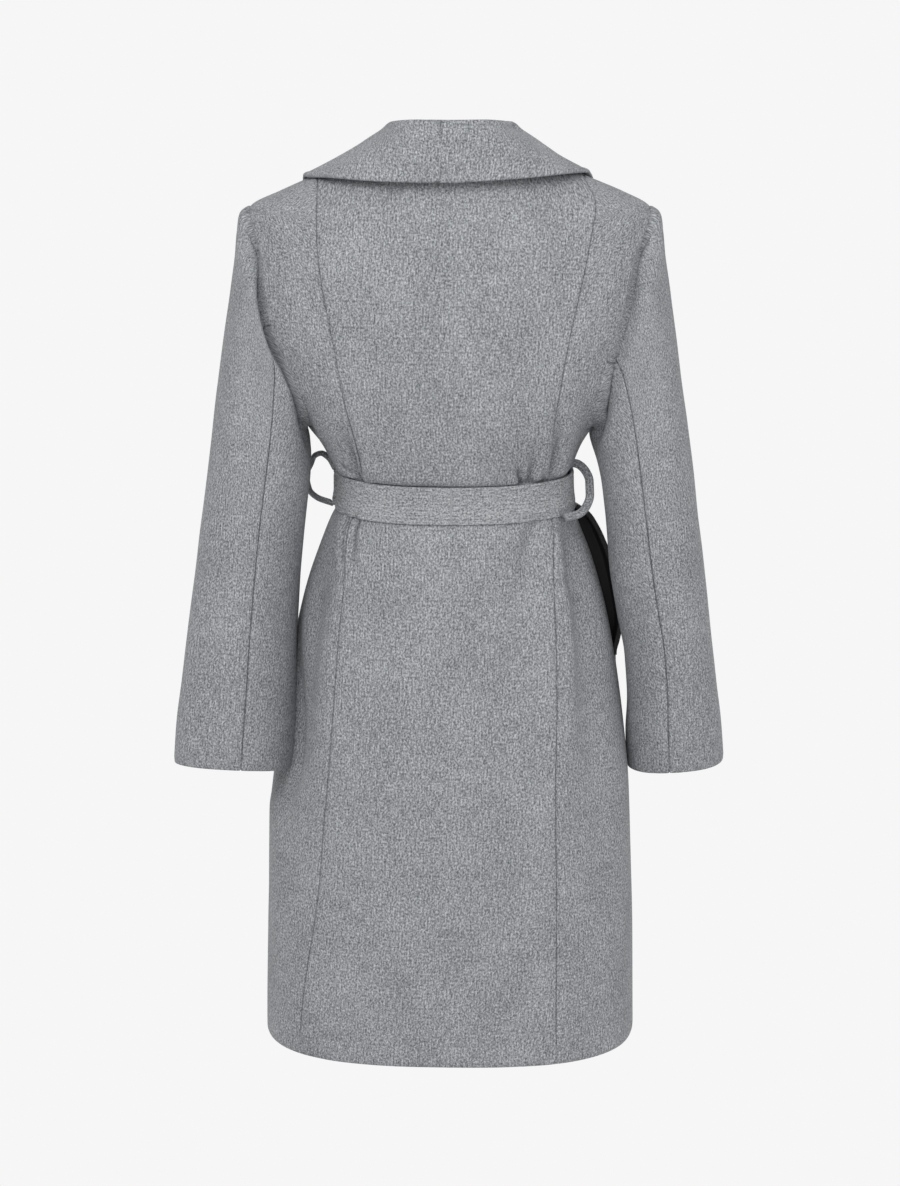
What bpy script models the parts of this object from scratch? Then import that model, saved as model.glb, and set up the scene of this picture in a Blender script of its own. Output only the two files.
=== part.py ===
"""Belted wrap coat in wool, filled out as when worn, with no wearer inside.

Millimetres in the tables, metres in the mesh. +Z is up, the coat faces -Y, and +X is the wearer's
left. The origin lies at the height of the neck's side, in the middle of the neck.
"""
import math

import bpy
import bmesh
from mathutils import Vector

COAT_NAME = "belted_wrap_coat"
MM = 0.001

CLOTH = 2.0               # thickness of the wool
COLLAR_CLOTH = 3.2        # upper collar and under collar together
LINING_CLOTH = 1.2
SEAM_GAP = 0.3            # between two pieces at a seam
NECK_Z = -1.5             # highest row of the fronts
TIP_Z = -66.0             # shoulder tip, where the armhole starts
UNDERARM_Z = -293.0       # lowest point of the armhole
HEM_Z = -949.0
BELT_TOP_Z = -342.5
BELT_MID_Z = -360.0
BELT_LOW_Z = -378.0
BELT_CLEAR = 0.8
BELT_CLOTH = 4.0          # two layers of wool, stitched
BELT_WIDTH = BELT_TOP_Z - BELT_LOW_Z
BELT_ROWS = (BELT_TOP_Z, BELT_MID_Z, BELT_LOW_Z)
NECK_DIP = 12.0           # how far the neckline drops at the centre back
NECK_DIP_END_Z = -66.0
COLLAR_SEAM_X = 9.0       # the collar's centre seam sits a little to the wearer's left

# Heights of the rows that all the body's panels share, so that their seams meet row by row.
LEVELS = (0.0, NECK_Z, -14.0, -34.0, -50.0, TIP_Z, -80.0, -97.0, -118.0, -142.0, -170.0, -200.0,
          -228.0, -256.0, -278.0, UNDERARM_Z, -306.0, -320.0, -332.0, -338.5, BELT_TOP_Z, BELT_MID_Z,
          BELT_LOW_Z, -385.0, -394.0, -410.0, -430.0, -456.0, -484.0, -512.0, -540.0, -576.0,
          -616.0, -656.0, -700.0, -810.0, HEM_Z)
SIDE_TOP_LEVEL = -34.0    # first row of the side-back panels

# Level sections of the body. left, right: half widths. back, front: depths from the middle.
# square: 2 is an ellipse and more is squarer. turn: degrees that the section is turned to the left.
SECTIONS = ("z left right back front square turn", (
    (0, 72.5, 72.5, 63, 50, 2.0, 0),
    (-17, 104, 104, 71, 63, 2.05, 0),
    (-34, 138, 138, 78, 76, 2.1, 0),
    (-51, 175.5, 178, 85, 87, 2.2, 0),
    (-66, 205, 205, 91, 96, 2.3, 0),
    (-80, 212, 212, 96, 103, 2.35, 0),
    (-110, 213, 213, 104, 118, 2.4, 0),
    (-150, 208, 208, 111, 131, 2.4, 0),
    (-195, 198, 198, 116, 139, 2.4, 0),
    (-240, 180, 180, 117, 139, 2.4, 0),
    (-270, 162, 162, 115, 134, 2.4, 0),
    (-293, 148, 148, 112, 128, 2.4, 0),
    (-312, 134.5, 136.5, 108, 121, 2.4, 0),
    (-331, 123.5, 129, 103, 113, 2.35, 0),
    (-338.5, 119, 126.5, 100, 110, 2.3, 0),
    (-342.5, 113.5, 124.5, 95, 105, 2.3, 0),
    (-360, 113.5, 125, 94, 104, 2.3, 0),
    (-378, 117, 128, 96, 106, 2.3, 0),
    (-385, 121, 131, 99, 109, 2.3, 0),
    (-395, 126, 134.5, 102, 113, 2.35, 0),
    (-427, 138.5, 147, 109, 122, 2.4, 0),
    (-456, 148.5, 156, 114, 128, 2.45, 0),
    (-482, 156, 163, 118, 132, 2.5, 0.3),
    (-537, 169, 174, 124, 138, 2.55, 0.6),
    (-600, 181, 183, 130, 142, 2.6, 1),
    (-674, 191, 190, 136, 145, 2.65, 1.3),
    (-758, 193.5, 193.5, 140, 148, 2.7, 1.6),
    (-843, 195.5, 196.5, 143, 150, 2.7, 1.8),
    (-949, 197.5, 198, 145, 151, 2.7, 2),
))

# Distances from the middle of the seams and edges, at each height.
PRINCESS = ("z left right", (
    (-34, 134.5, 137), (-55, 134.5, 147), (-88, 134, 142), (-128, 130, 134), (-167, 123, 125),
    (-197, 117, 119), (-238, 110, 112), (-281, 101, 107), (-329, 92, 105), (-359, 92, 103),
    (-385, 103, 105), (-456, 110.5, 108), (-558, 119, 110), (-664, 129, 109), (-771, 138, 111),
    (-880, 154, 111), (-949, 161, 112),
))
ARMHOLE = ("z back front", (
    (-66, 205, 205), (-80, 201.5, 200), (-111, 189, 184), (-149, 183, 174), (-195, 173.5, 165),
    (-222, 163, 157), (-251, 154, 150), (-275, 149, 147.5), (-293, 148, 148),
))
FRONT_EDGE = ("z reach", (      # of each front, past the middle where it is less than nothing
    (-1.5, 71.5), (-20, 69), (-60, 63), (-120, 52), (-180, 39), (-240, 20), (-292, 0), (-341, -24),
    (-379, -45), (-430, -60), (-500, -68), (-949, -78),
))

# Folds: a soft ridge (depth above 0) or trough from one point down to another. side is 1 on the
# back and -1 on the front; peak is where along its length it is deepest, reach is its half width.
FOLDS = ("side top_x top_z low_x low_z depth reach peak", (
    (1, -79, -379, -34, -650, -5.0, 20, 0.12),      # long trough below the belt, right of centre
    (1, -104, -379, -112, -720, 3.5, 18, 0.15),     # ridge beside it, along the princess seam
    (1, 98, -379, 108, -480, 3.0, 16, 0.15),        # short ridge left of the left seam
    (1, 118, -440, 140, -640, 3.0, 26, 0.45),       # broad ridge on the left side-back panel
    (1, -76, -262, -70, -341, -3.0, 15, 0.85),      # pinches above the belt
    (1, 104, -262, 96, -341, -3.0, 15, 0.85),
    (1, 40, -379, 62, -560, -2.5, 22, 0.15),
    (-1, 88, -379, 104, -620, -4.0, 20, 0.12),      # the same on the fronts
    (-1, -96, -379, -118, -640, -4.0, 20, 0.12),
    (-1, 92, -270, 84, -341, -3.0, 16, 0.85),
    (-1, -94, -262, -84, -341, -3.0, 16, 0.85),
))

# The right front stands away from the side seam at the pocket: how far, at each height.
POCKET_MOUTH = ("z gape", (
    (-378, 0), (-385, 8), (-394, 14), (-410, 17), (-430, 16.5), (-456, 12.5), (-484, 9.2),
    (-512, 6.5), (-540, 1.2), (-576, 0),
))
POCKET_REACH = 38.0       # how far round the front the pocket's gape fades out
POCKET_DEPTH = 14.0       # of the lining's valley
LINING_SIDES = ((1, 0), (1, 0), (1, -1), (-0.5, -1), (-1, 0))    # way to its hidden side, point by point

# The left side is pressed in where the sleeve hangs on it: middle angle, rows and depth.
PRESS = {"angle": 75.0, "top_z": -470.0, "low_z": -706.0, "depth": 19.0, "reach": 44.0, "peak": 0.78}

# The right front lies over the left one, and over the left lapel just above the belt.
LAP_LIFT = 3.6
LAP_START_X = -86.0
LAP_RAMP = 34.0
LAPEL_LIFT = 9.5
LAPEL_CROSSING = {"x": -2.0, "z": -298.0, "reach_x": 40.0, "reach_z": 34.0}

# Sleeve sections from the armhole (0) to the cuff (14). outer, inner: the tube's edges seen from
# behind. mid_y, deep: middle and half depth. tip: how far its back is lower than its middle.
SLEEVE_LEFT = ("t outer_x outer_z inner_x inner_z mid_y deep tip", (
    (0, 205, -66, 148, -293, -6.5, 73, 0),
    (1, 214.5, -73, 148.2, -297, -6, 76, 0),
    (2, 219, -91, 147.3, -301, -5, 77, 0),
    (3, 221.5, -115, 146.4, -306, -4, 77, 0),
    (4, 226.5, -148, 145.6, -314, -2, 76, 0),
    (5, 232.5, -190, 144.8, -326, 2, 74, 0),
    (6, 239, -238, 145.8, -346, 9, 71, -0.7),
    (7, 245.5, -288, 149.5, -375, 17, 66, -1.5),
    (8, 252, -340, 154, -410, 25, 61, -2.5),
    (9, 258.5, -391, 157.5, -448, 33, 56, -3.5),
    (10, 265, -441, 160, -487, 40, 53, -4.5),
    (11, 272, -491, 161.5, -527, 45, 50, -5.5),
    (12, 278.5, -541, 162.5, -568, 48, 48, -6.5),
    (13, 286, -594, 164, -610, 50, 46, -7),
    (14, 290.5, -643, 166.5, -651, 50, 45, -7),
))
SLEEVE_RIGHT = ("t outer_x outer_z inner_x inner_z mid_y deep tip", (
    (0, 205, -66, 148, -293, -6.5, 73, 0),
    (1, 214.5, -73, 147.5, -296, -6, 76, 0),
    (2, 219, -91, 147.2, -300, -5, 77, 0),
    (3, 221.5, -115, 148, -306, -4, 77, 0),
    (4, 226.5, -148, 150, -315, -2, 76, 0),
    (5, 232.5, -190, 153.5, -328, 2, 74, 0),
    (6, 239, -238, 158, -350, 8, 71, -0.3),
    (7, 246, -288, 161.5, -379, 13, 68, -0.6),
    (8, 253.5, -340, 165.5, -413, 16, 66, -1),
    (9, 260, -393, 170, -452, 16, 64, -1.4),
    (10, 267, -446, 175, -493, 13, 63, -1.8),
    (11, 273.5, -499, 182.5, -536, 8, 62, -2.2),
    (12, 280.5, -552, 187, -580, 2, 61, -2.6),
    (13, 288, -606, 189, -623, -5, 60, -3),
    (14, 292.5, -656, 190, -664, -12, 59, -3),
))
SLEEVE_CAP = 5.0          # sections over which the armhole's own outline fades into the tube
SLEEVE_SQUARE = 2.3
SLEEVE_BACK_SEAM_Z = -200.0    # where the seams leave the armhole
SLEEVE_FRONT_SEAM_Z = -228.0

# The collar behind the shoulders: roll (highest line), middle of the fall and its edge.
COLLAR_BACK = ("s roll_x roll_y roll_z mid_x mid_y mid_z edge_x edge_y edge_z", (
    (0, 0, 71, 27, 0, 88, 2, 0, 99, -31),
    (1, 36, 62, 26.5, 45, 80, 1, 60, 92, -31.5),
    (2, 62, 32, 23.5, 85, 52, -5, 116, 62, -32),
    (3, 68, 4, 20, 101.5, 10, -9, 149, 13, -36),
))
# The lapels in front of them: height of the roll, and the edge's angle, height and way off the front.
LAPELS = ("s roll_z edge_angle edge_z edge_off", (
    (3, 0, 85, -39.5, 4.6),
    (3.5, -2, 99, -43, 4.6),
    (4, -8, 112, -58, 4.6),
    (5, -46, 122.5, -112, 4.4),
    (6, -96, 130.5, -164, 4.2),
    (7, -152, 138, -212, 4.0),
    (8, -208, 146.5, -252, 4.0),
    (9, -256, 157.5, -284, 4.0),
    (10, -293, 171.5, -305, 4.0),
    (11, -318, 183.5, -320.5, 4.0),
))
COLLAR_STATIONS = (0.5, 1.0, 1.5, 2.0, 2.5, 3.0, 3.5, 4.0, 4.6, 5.3, 6.0, 6.7, 7.4, 8.1, 8.8, 9.5, 10.2,
                   11.0)
FALL_STEPS = (0.25, 0.5, 0.75, 1.0)
COLLAR_GAP = 0.5          # between the neckline and the collar
ROLL_RADIUS = ("s radius", ((0, 7.5), (2, 7), (3, 5.5), (4, 4), (5, 3.4), (9, 3.0), (11, 2.5)))

LOOP_WIDTH = 9.5
LOOP_THICK = 4.6
LOOP_RIGHT = ("step x y z", (
    (0, -129.5, 1, -335), (1, -135.5, 5, -341), (2, -140, 10, -350), (3, -143, 16, -359),
    (4, -144, 25, -367), (5, -141.5, 37, -374), (6, -133.5, 50, -378), (7, -122.5, 62, -379),
))
LOOP_LEFT = ("step x y z", (
    (0, 129.5, -11, -328.5), (1, 137, -24, -331.5), (2, 147, -38, -337), (3, 152.5, -47, -347),
    (4, 153, -48, -359), (5, 149, -42, -369), (6, 138, -26, -375), (7, 127.5, -12, -378),
))
LOOP_TWIST = {"left": 24.0, "right": 62.0}      # degrees that the strip is turned to face the back

KNOT = {"x": 14.0, "z": -360.0, "width": 50.0, "height": 47.0, "thick": 23.0, "bevel": 9.0}
BELT_ENDS = {            # hanging below the knot: side, start, lean, length
    "left": {"x": 33.0, "lean": 44.0, "length": 330.0, "off": 3.2},
    "right": {"x": -6.0, "lean": -20.0, "length": 372.0, "off": 3.2},
}

WOOL = (0.30, 0.31, 0.325)
BELT_WOOL = (0.33, 0.34, 0.35)
LINING = (0.018, 0.018, 0.02)


class Curves:
    """Smooth curves through the columns of a table, read against its first column."""

    def __init__(self, table):
        names, rows = table[0].split(), sorted(table[1])
        self.at = [row[0] for row in rows]
        self.column = {name: [row[i] for row in rows] for i, name in enumerate(names)}
        self.slope = {name: self.slopes(column) for name, column in self.column.items()}

    def slopes(self, column):
        steps = [(column[i] - column[i - 1]) / (self.at[i] - self.at[i - 1]) for i in range(1, len(column))]
        inner = [0.0 if a * b <= 0 else 2 * a * b / (a + b) for a, b in zip(steps, steps[1:])]
        return [steps[0]] + inner + [steps[-1]]

    def read(self, name, where):
        where = min(max(where, self.at[0]), self.at[-1])
        i = 0
        while i < len(self.at) - 2 and where > self.at[i + 1]:
            i += 1
        span = self.at[i + 1] - self.at[i]
        t = (where - self.at[i]) / span
        column, slope = self.column[name], self.slope[name]
        rise = (column[i + 1] - column[i]) * t * t * (3 - 2 * t)
        bend = span * t * (1 - t) * (slope[i] * (1 - t) - slope[i + 1] * t)
        return column[i] + rise + bend


def smooth(t):
    t = min(max(t, 0.0), 1.0)
    return t * t * (3 - 2 * t)


sections = Curves(SECTIONS)
princess = Curves(PRINCESS)
armhole = Curves(ARMHOLE)
front_edge = Curves(FRONT_EDGE)
pocket_mouth = Curves(POCKET_MOUTH)
roll_radius = Curves(ROLL_RADIUS)
collar_curves = Curves(COLLAR_BACK)
lapel_curves = Curves(LAPELS)
sleeve_sections = {1: Curves(SLEEVE_LEFT), -1: Curves(SLEEVE_RIGHT)}


def ring_radius(angle, z):
    """Distance from the middle, at an angle in degrees from the centre back towards the left."""
    back_or_front = "back" if math.cos(math.radians(angle)) > 0 else "front"
    left_or_right = "left" if math.sin(math.radians(angle)) > 0 else "right"
    square = sections.read("square", z)
    across = abs(math.sin(math.radians(angle))) / sections.read(left_or_right, z)
    along = abs(math.cos(math.radians(angle))) / sections.read(back_or_front, z)
    return (across ** square + along ** square) ** (-1 / square)


def solve(function, low, high):
    """Where a function that falls from low to high passes nought."""
    for _ in range(40):
        middle = (low + high) / 2
        if function(middle) > 0:
            low = middle
        else:
            high = middle
    return (low + high) / 2


def body_direction(angle):
    """Level direction at an angle from the centre back towards the left."""
    return Vector((math.sin(math.radians(angle)), math.cos(math.radians(angle)), 0.0))


def plain_x(angle, z):
    return ring_radius(angle, z) * math.sin(math.radians(angle + sections.read("turn", z)))


def angle_at(x, z, side):
    """Angle of the point at a distance x from the middle, on the back (side 1) or the front (-1)."""
    if side > 0:
        return solve(lambda angle: x - plain_x(angle, z), -90.0, 90.0)
    return solve(lambda angle: plain_x(angle, z) - x, 90.0, 270.0)


def wrap(degrees):
    return (degrees + 180.0) % 360.0 - 180.0


def ridge(angle, z, fold):
    """Height of one fold at a point of the body."""
    t = (fold["top_z"] - z) / (fold["top_z"] - fold["low_z"])
    if not 0.0 < t < 1.0:
        return 0.0
    strength = smooth(t / fold["peak"]) if t < fold["peak"] else smooth((1 - t) / (1 - fold["peak"]))
    middle = fold["top_angle"] + (fold["low_angle"] - fold["top_angle"]) * t
    away = math.radians(wrap(angle - middle)) * ring_radius(angle, z)
    return fold["depth"] * strength * math.exp(-(away / fold["reach"]) ** 2)


def fold_list():
    names = FOLDS[0].split()
    folds = []
    for row in FOLDS[1]:
        fold = dict(zip(names, row))
        fold["top_angle"] = angle_at(fold["top_x"], fold["top_z"], fold["side"])
        fold["low_angle"] = angle_at(fold["low_x"], fold["low_z"], fold["side"])
        folds.append(fold)
    angle = PRESS["angle"]
    folds.append({**PRESS, "depth": -PRESS["depth"], "top_angle": angle, "low_angle": angle})
    return folds


folds = fold_list()


def body_point(angle, z, out=0.0):
    """Point of the coat's face on the body; out moves it straight out from the middle."""
    radius = ring_radius(angle, z) + sum(ridge(angle, z, fold) for fold in folds) + out
    turned = math.radians(angle + sections.read("turn", z))
    return Vector((radius * math.sin(turned), radius * math.cos(turned), z))


def pocket_gape(angle, z):
    """How far the right front stands out beside the pocket."""
    away = math.radians(abs(wrap(angle - 270.0))) * ring_radius(angle, z)
    return pocket_mouth.read("gape", z) * math.exp(-(away / POCKET_REACH) ** 2)


def lap_lift(angle, z):
    """How far the right front stands out over the left front and the left lapel."""
    x = plain_x(angle, z)
    cross = LAPEL_CROSSING
    away = ((x - cross["x"]) / cross["reach_x"]) ** 2 + ((z - cross["z"]) / cross["reach_z"]) ** 2
    over = LAP_LIFT * smooth((x - LAP_START_X + LAP_RAMP) / LAP_RAMP)
    return over + LAPEL_LIFT * math.exp(-away * away)


def right_front_point(angle, z):
    return body_point(angle, z, lap_lift(angle, z) + pocket_gape(angle, z))


def normal_of(point, u, v, du, dv):
    """Outward normal of a surface given by a function of two numbers."""
    along_u = point(u + du, v) - point(u - du, v)
    along_v = point(u, v + dv) - point(u, v - dv)
    return along_u.cross(along_v).normalized()


def body_normal(angle, z, point=body_point):
    z = min(max(z, HEM_Z + 1.0), -1.0)
    normal = normal_of(point, angle, z, 0.5, 1.0)
    return normal if normal.dot(body_direction(angle)) > 0 else -normal


def material(name, colour, roughness=0.9):
    found = bpy.data.materials.get(name) or bpy.data.materials.new(name)
    found.use_nodes = True
    shader = found.node_tree.nodes["Principled BSDF"]
    shader.inputs["Base Color"].default_value = (*colour, 1.0)
    shader.inputs["Roughness"].default_value = roughness
    shader.inputs["Metallic"].default_value = 0.0
    return found


def add_solid(name, points, faces, colour):
    """Object of one closed body, its faces turned outwards."""
    mesh = bpy.data.meshes.new(name)
    mesh.from_pydata([point * MM for point in points], [], faces)
    work = bmesh.new()
    work.from_mesh(mesh)
    bmesh.ops.recalc_face_normals(work, faces=work.faces)
    work.to_mesh(mesh)
    work.free()
    mesh.shade_smooth()
    mesh.set_sharp_from_angle(angle=math.radians(40))
    mesh.materials.append(material(name, colour))
    part = bpy.data.objects.new(name, mesh)
    bpy.data.collections[COAT_NAME].objects.link(part)
    return part


def rim(face_here, face_next, back_here, back_next):
    """The edge between the two sides of the cloth, always cut from the face to the next back point."""
    return [[face_here, face_next, back_next], [face_here, back_next, back_here]]


def add_wall(name, face, back, colour, tube=False):
    """Closed wall of cloth between two matching grids of points; tube joins the rows' ends."""
    rows, columns = len(face), len(face[0])
    points = [point for grid in (face, back) for row in grid for point in row]

    def index(layer, row, column):
        return (layer * rows + row) * columns + column % columns

    faces = []
    for row in range(rows - 1):
        for column in range(columns if tube else columns - 1):
            corners = [(row, column), (row, column + 1), (row + 1, column + 1), (row + 1, column)]
            places = [face[r][c % columns] for r, c in corners]
            first = 0 if (places[0] - places[2]).length < (places[1] - places[3]).length else 1
            for layer in (0, 1):
                ring = [index(layer, *corners[(first + i) % 4]) for i in range(4)]
                faces += [[ring[0], ring[1], ring[2]], [ring[0], ring[2], ring[3]]]
    for row in (0, rows - 1):
        for column in range(columns if tube else columns - 1):
            faces += rim(index(0, row, column), index(0, row, column + 1),
                         index(1, row, column), index(1, row, column + 1))
    for column in () if tube else (0, columns - 1):
        for row in range(rows - 1):
            faces += rim(index(0, row, column), index(0, row + 1, column),
                         index(1, row, column), index(1, row + 1, column))
    return add_solid(name, points, faces, colour)


def set_back(angle, z, towards):
    """Angle moved by half a seam gap towards one side."""
    return angle + towards * math.degrees(SEAM_GAP / 2 / ring_radius(angle, z))


def armhole_angle(z, side, back_or_front):
    """Angle of the armhole's edge: side 1 is the left, back_or_front 1 is the back."""
    if z >= TIP_Z or z <= UNDERARM_Z:
        return 90.0 * side
    reach = armhole.read("back" if back_or_front > 0 else "front", z)
    if back_or_front > 0:
        return side * solve(lambda angle: reach - side * plain_x(side * angle, z), 0.0, 90.0)
    return side * solve(lambda angle: side * plain_x(side * angle, z) - reach, 90.0, 180.0)


def outer_edge(z, side, back_or_front):
    """A panel's outer edge: the shoulder seam, the armhole, then the side seam."""
    angle = armhole_angle(z, side, back_or_front)
    return set_back(angle, z, -side * back_or_front) if abs(angle) == 90.0 else angle


def princess_angle(z, side):
    return angle_at(side * princess.read("left" if side > 0 else "right", z), z, 1)


def neck_dip(z):
    """How far a row sags at the centre back, to follow the neckline."""
    return NECK_DIP * smooth(1 - z / NECK_DIP_END_Z)


def panel_grids(levels, ends, columns, point=body_point, dip=False, crowd=1.0):
    """Face and back of a panel whose rows run between two angles. crowd draws columns to the first."""
    face, back = [], []
    for z in levels:
        start, end = ends(z)
        face_row, back_row = [], []
        for i in range(columns):
            t = (i / (columns - 1)) ** crowd
            angle = start + (end - start) * t
            low = z - (neck_dip(z) * (1 - (2 * t - 1) ** 2) if dip else 0.0)
            outside = point(angle, low)
            face_row.append(outside)
            back_row.append(outside - body_normal(angle, low, point) * CLOTH)
        face.append(face_row)
        back.append(back_row)
    return face, back


def back_centre():
    def ends(z):
        if z > SIDE_TOP_LEVEL:
            return set_back(-90.0, z, 1), set_back(90.0, z, -1)
        return set_back(princess_angle(z, -1), z, 1), set_back(princess_angle(z, 1), z, -1)

    levels = [z for z in LEVELS if z != NECK_Z]
    add_wall("back_centre", *panel_grids(levels, ends, 13, dip=True), WOOL)


def back_side(name, side):
    def ends(z):
        return set_back(princess_angle(z, side), z, side), outer_edge(z, side, 1)

    levels = [z for z in LEVELS if z <= SIDE_TOP_LEVEL]
    add_wall(name, *panel_grids(levels, ends, 5), WOOL)


def front_edge_angle(z, side):
    angle = angle_at(side * front_edge.read("reach", z), z, -1)
    return angle if side > 0 else angle - 360.0


def front(name, side, point):
    def ends(z):
        return outer_edge(z, side, -1), front_edge_angle(z, side)

    levels = [z for z in LEVELS if z < 0.0]
    add_wall(name, *panel_grids(levels, ends, 9, point, crowd=1.3), WOOL)


def armhole_points(side):
    """The armhole's outline, from the tip down the back and up the front, with its way out."""
    down = [z for z in LEVELS if UNDERARM_Z <= z <= TIP_Z]
    stops = [(z, 1) for z in down] + [(z, -1) for z in reversed(down[1:-1])]
    edge = [body_point(armhole_angle(z, side, back_or_front), z) for z, back_or_front in stops]
    normals = [body_normal(armhole_angle(z, side, back_or_front), z) for z, back_or_front in stops]
    middle = sum(edge, Vector()) / len(edge)
    outline = []
    for i, (point, normal) in enumerate(zip(edge, normals)):
        along = (edge[(i + 1) % len(edge)] - edge[i - 1]).normalized()
        away = along.cross(normal).normalized()
        if away.dot(middle - point) < 0:
            away = -away
        outline.append((point, away))
    return stops, outline


def sleeve_angle(z, back_or_front):
    """Angle round the sleeve that belongs to a height on the armhole: 0 at the tip, 180 below."""
    middle, half = (TIP_Z + UNDERARM_Z) / 2, (TIP_Z - UNDERARM_Z) / 2
    angle = math.degrees(math.acos(min(max((z - middle) / half, -1.0), 1.0)))
    return angle if back_or_front > 0 else 360.0 - angle


def sleeve_section(side, angle, t):
    """Point of the sleeve's tube, t sections below the armhole."""
    read = sleeve_sections[side].read
    outer = Vector((read("outer_x", t), 0.0, read("outer_z", t)))
    inner = Vector((read("inner_x", t), 0.0, read("inner_z", t)))
    cosine, sine = math.cos(math.radians(angle)), math.sin(math.radians(angle))
    size = (abs(cosine) ** SLEEVE_SQUARE + abs(sine) ** SLEEVE_SQUARE) ** (-1 / SLEEVE_SQUARE)
    point = (outer + inner) / 2 + (outer - inner) / 2 * cosine * size
    point.y = read("mid_y", t) + read("deep", t) * sine * size
    point.z -= read("tip", t) * sine
    point.x *= side
    return point


def sleeve_grids(side):
    """Face and back of the whole sleeve, one column for each row that meets the armhole."""
    stops, outline = armhole_points(side)
    last = int(sleeve_sections[side].at[-1])
    angles = [sleeve_angle(z, back_or_front) for z, back_or_front in stops]
    starts = [point + away * SEAM_GAP for point, away in outline]

    def point(column, t):
        here = sleeve_section(side, angles[column], t)
        fade = 1 - smooth(t / SLEEVE_CAP)
        return here + (starts[column] - sleeve_section(side, angles[column], 0.0)) * fade

    face = [[point(column, t) for column in range(len(stops))] for t in range(last + 1)]
    back = []
    for t, row in enumerate(face):
        back_row = []
        for column, outside in enumerate(row):
            down = point(column, min(t + 0.25, last)) - point(column, max(t - 0.25, 0.0))
            round_it = row[(column + 1) % len(row)] - row[column - 1]
            inward = down.cross(round_it).normalized()
            middle = sum(row, Vector()) / len(row)
            if inward.dot(middle - outside) < 0:
                inward = -inward
            if t == 0:
                inward = (inward + outline[column][1] * 0.8).normalized()
            back_row.append(outside + inward * CLOTH)
        back.append(back_row)
    return stops, face, back


def seam_columns(grid, first, last):
    """Columns of a closed grid from first to last, ends drawn in by half a seam gap."""
    count = len(grid[0])
    picked = [(first + i) % count for i in range((last - first) % count + 1)]
    rows = []
    for row in grid:
        points = [row[column].copy() for column in picked]
        points[0] += (points[1] - points[0]).normalized() * (SEAM_GAP / 2)
        points[-1] += (points[-2] - points[-1]).normalized() * (SEAM_GAP / 2)
        rows.append(points)
    return rows


def sleeve(name, side):
    stops, face, back = sleeve_grids(side)
    back_seam = stops.index((SLEEVE_BACK_SEAM_Z, 1))
    front_seam = stops.index((SLEEVE_FRONT_SEAM_Z, -1))
    add_wall(f"sleeve_top_{name}", seam_columns(face, front_seam, back_seam),
             seam_columns(back, front_seam, back_seam), WOOL)
    add_wall(f"sleeve_under_{name}", seam_columns(face, back_seam, front_seam),
             seam_columns(back, back_seam, front_seam), WOOL)


def front_seam(s, side):
    """Angle and height of the front's neckline and edge at one place along the collar."""
    if s < 3.5:
        t = 2 * (s - 3.0)
        return 90.0 * side * (1 - t) + front_edge_angle(NECK_Z, side) * t, NECK_Z * t
    z = lapel_curves.read("roll_z", s)
    if s < 4.0:
        z = NECK_Z + (lapel_curves.read("roll_z", 4.0) - NECK_Z) * 2 * (s - 3.5)
    return front_edge_angle(z, side), z


def front_surface(side):
    return body_point if side > 0 else right_front_point


def neck_point(s, side):
    """Point of the neckline and front edge at one place along the collar, with the cloth's normal."""
    if s <= 3.0:
        angle = 30.0 * s * side
        z = -neck_dip(0.0) * (1 - (angle / 90.0) ** 2)
        return body_point(angle, z), body_normal(angle, z)
    angle, z = front_seam(s, side)
    return front_surface(side)(angle, z), body_normal(angle, z, front_surface(side))


def neck_edge(s, side):
    """The same with the way out of the neck, in the cloth and square to its edge."""
    point, normal = neck_point(s, side)
    along = neck_point(s + 0.02, side)[0] - neck_point(max(s - 0.02, 0.0), side)[0]
    away = normal.cross(along).normalized()
    free = Vector((-side * smooth(s - 3.0), 0.0, 1.0))
    return point, normal, away if away.dot(free) > 0 else -away


def collar_roll(s, side):
    """Seam, cloth's normal, way out, roll line and the roll's outward direction."""
    seam, normal, away = neck_edge(s, side)
    read = collar_curves.read
    roll = Vector((side * read("roll_x", s), read("roll_y", s), read("roll_z", s)))
    behind = roll - neck_point(min(s, 3.0), side)[0]
    radius = roll_radius.read("radius", s)
    before = away * (radius + 3.0) + normal * radius
    radial = Vector((seam.x, seam.y, 0.0)).normalized()
    t = smooth(s - 3.0)
    out = (radial * (1 - t) + normal * t).normalized()
    return seam, normal, away, seam + behind * (1 - t) + before * t, out


def fall_behind(s, side, outside):
    """The collar's fall behind the shoulders, from just past the roll to the edge."""
    read = collar_curves.read
    middle, edge = (Vector((side * read(f"{name}_x", s), read(f"{name}_y", s), read(f"{name}_z", s)))
                    for name in ("mid", "edge"))
    control = middle * 2 - (outside + edge) / 2
    return [outside * (1 - t) ** 2 + control * 2 * t * (1 - t) + edge * t * t for t in FALL_STEPS]


def fall_before(s, side, seam_off):
    """The lapel, which lies along the front at its own small distance."""
    surface = front_surface(side)
    read = lapel_curves.read
    seam_angle, seam_z = front_seam(s, side)
    points = []
    for t in FALL_STEPS:
        angle = seam_angle * (1 - t) + side * read("edge_angle", s) * t
        z = seam_z * (1 - t) + read("edge_z", s) * t
        off = read("edge_off", s) + (seam_off - read("edge_off", s)) * (1 - t) ** 2.4
        points.append(surface(angle, z) + body_normal(angle, z, surface) * off)
    return points


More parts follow.
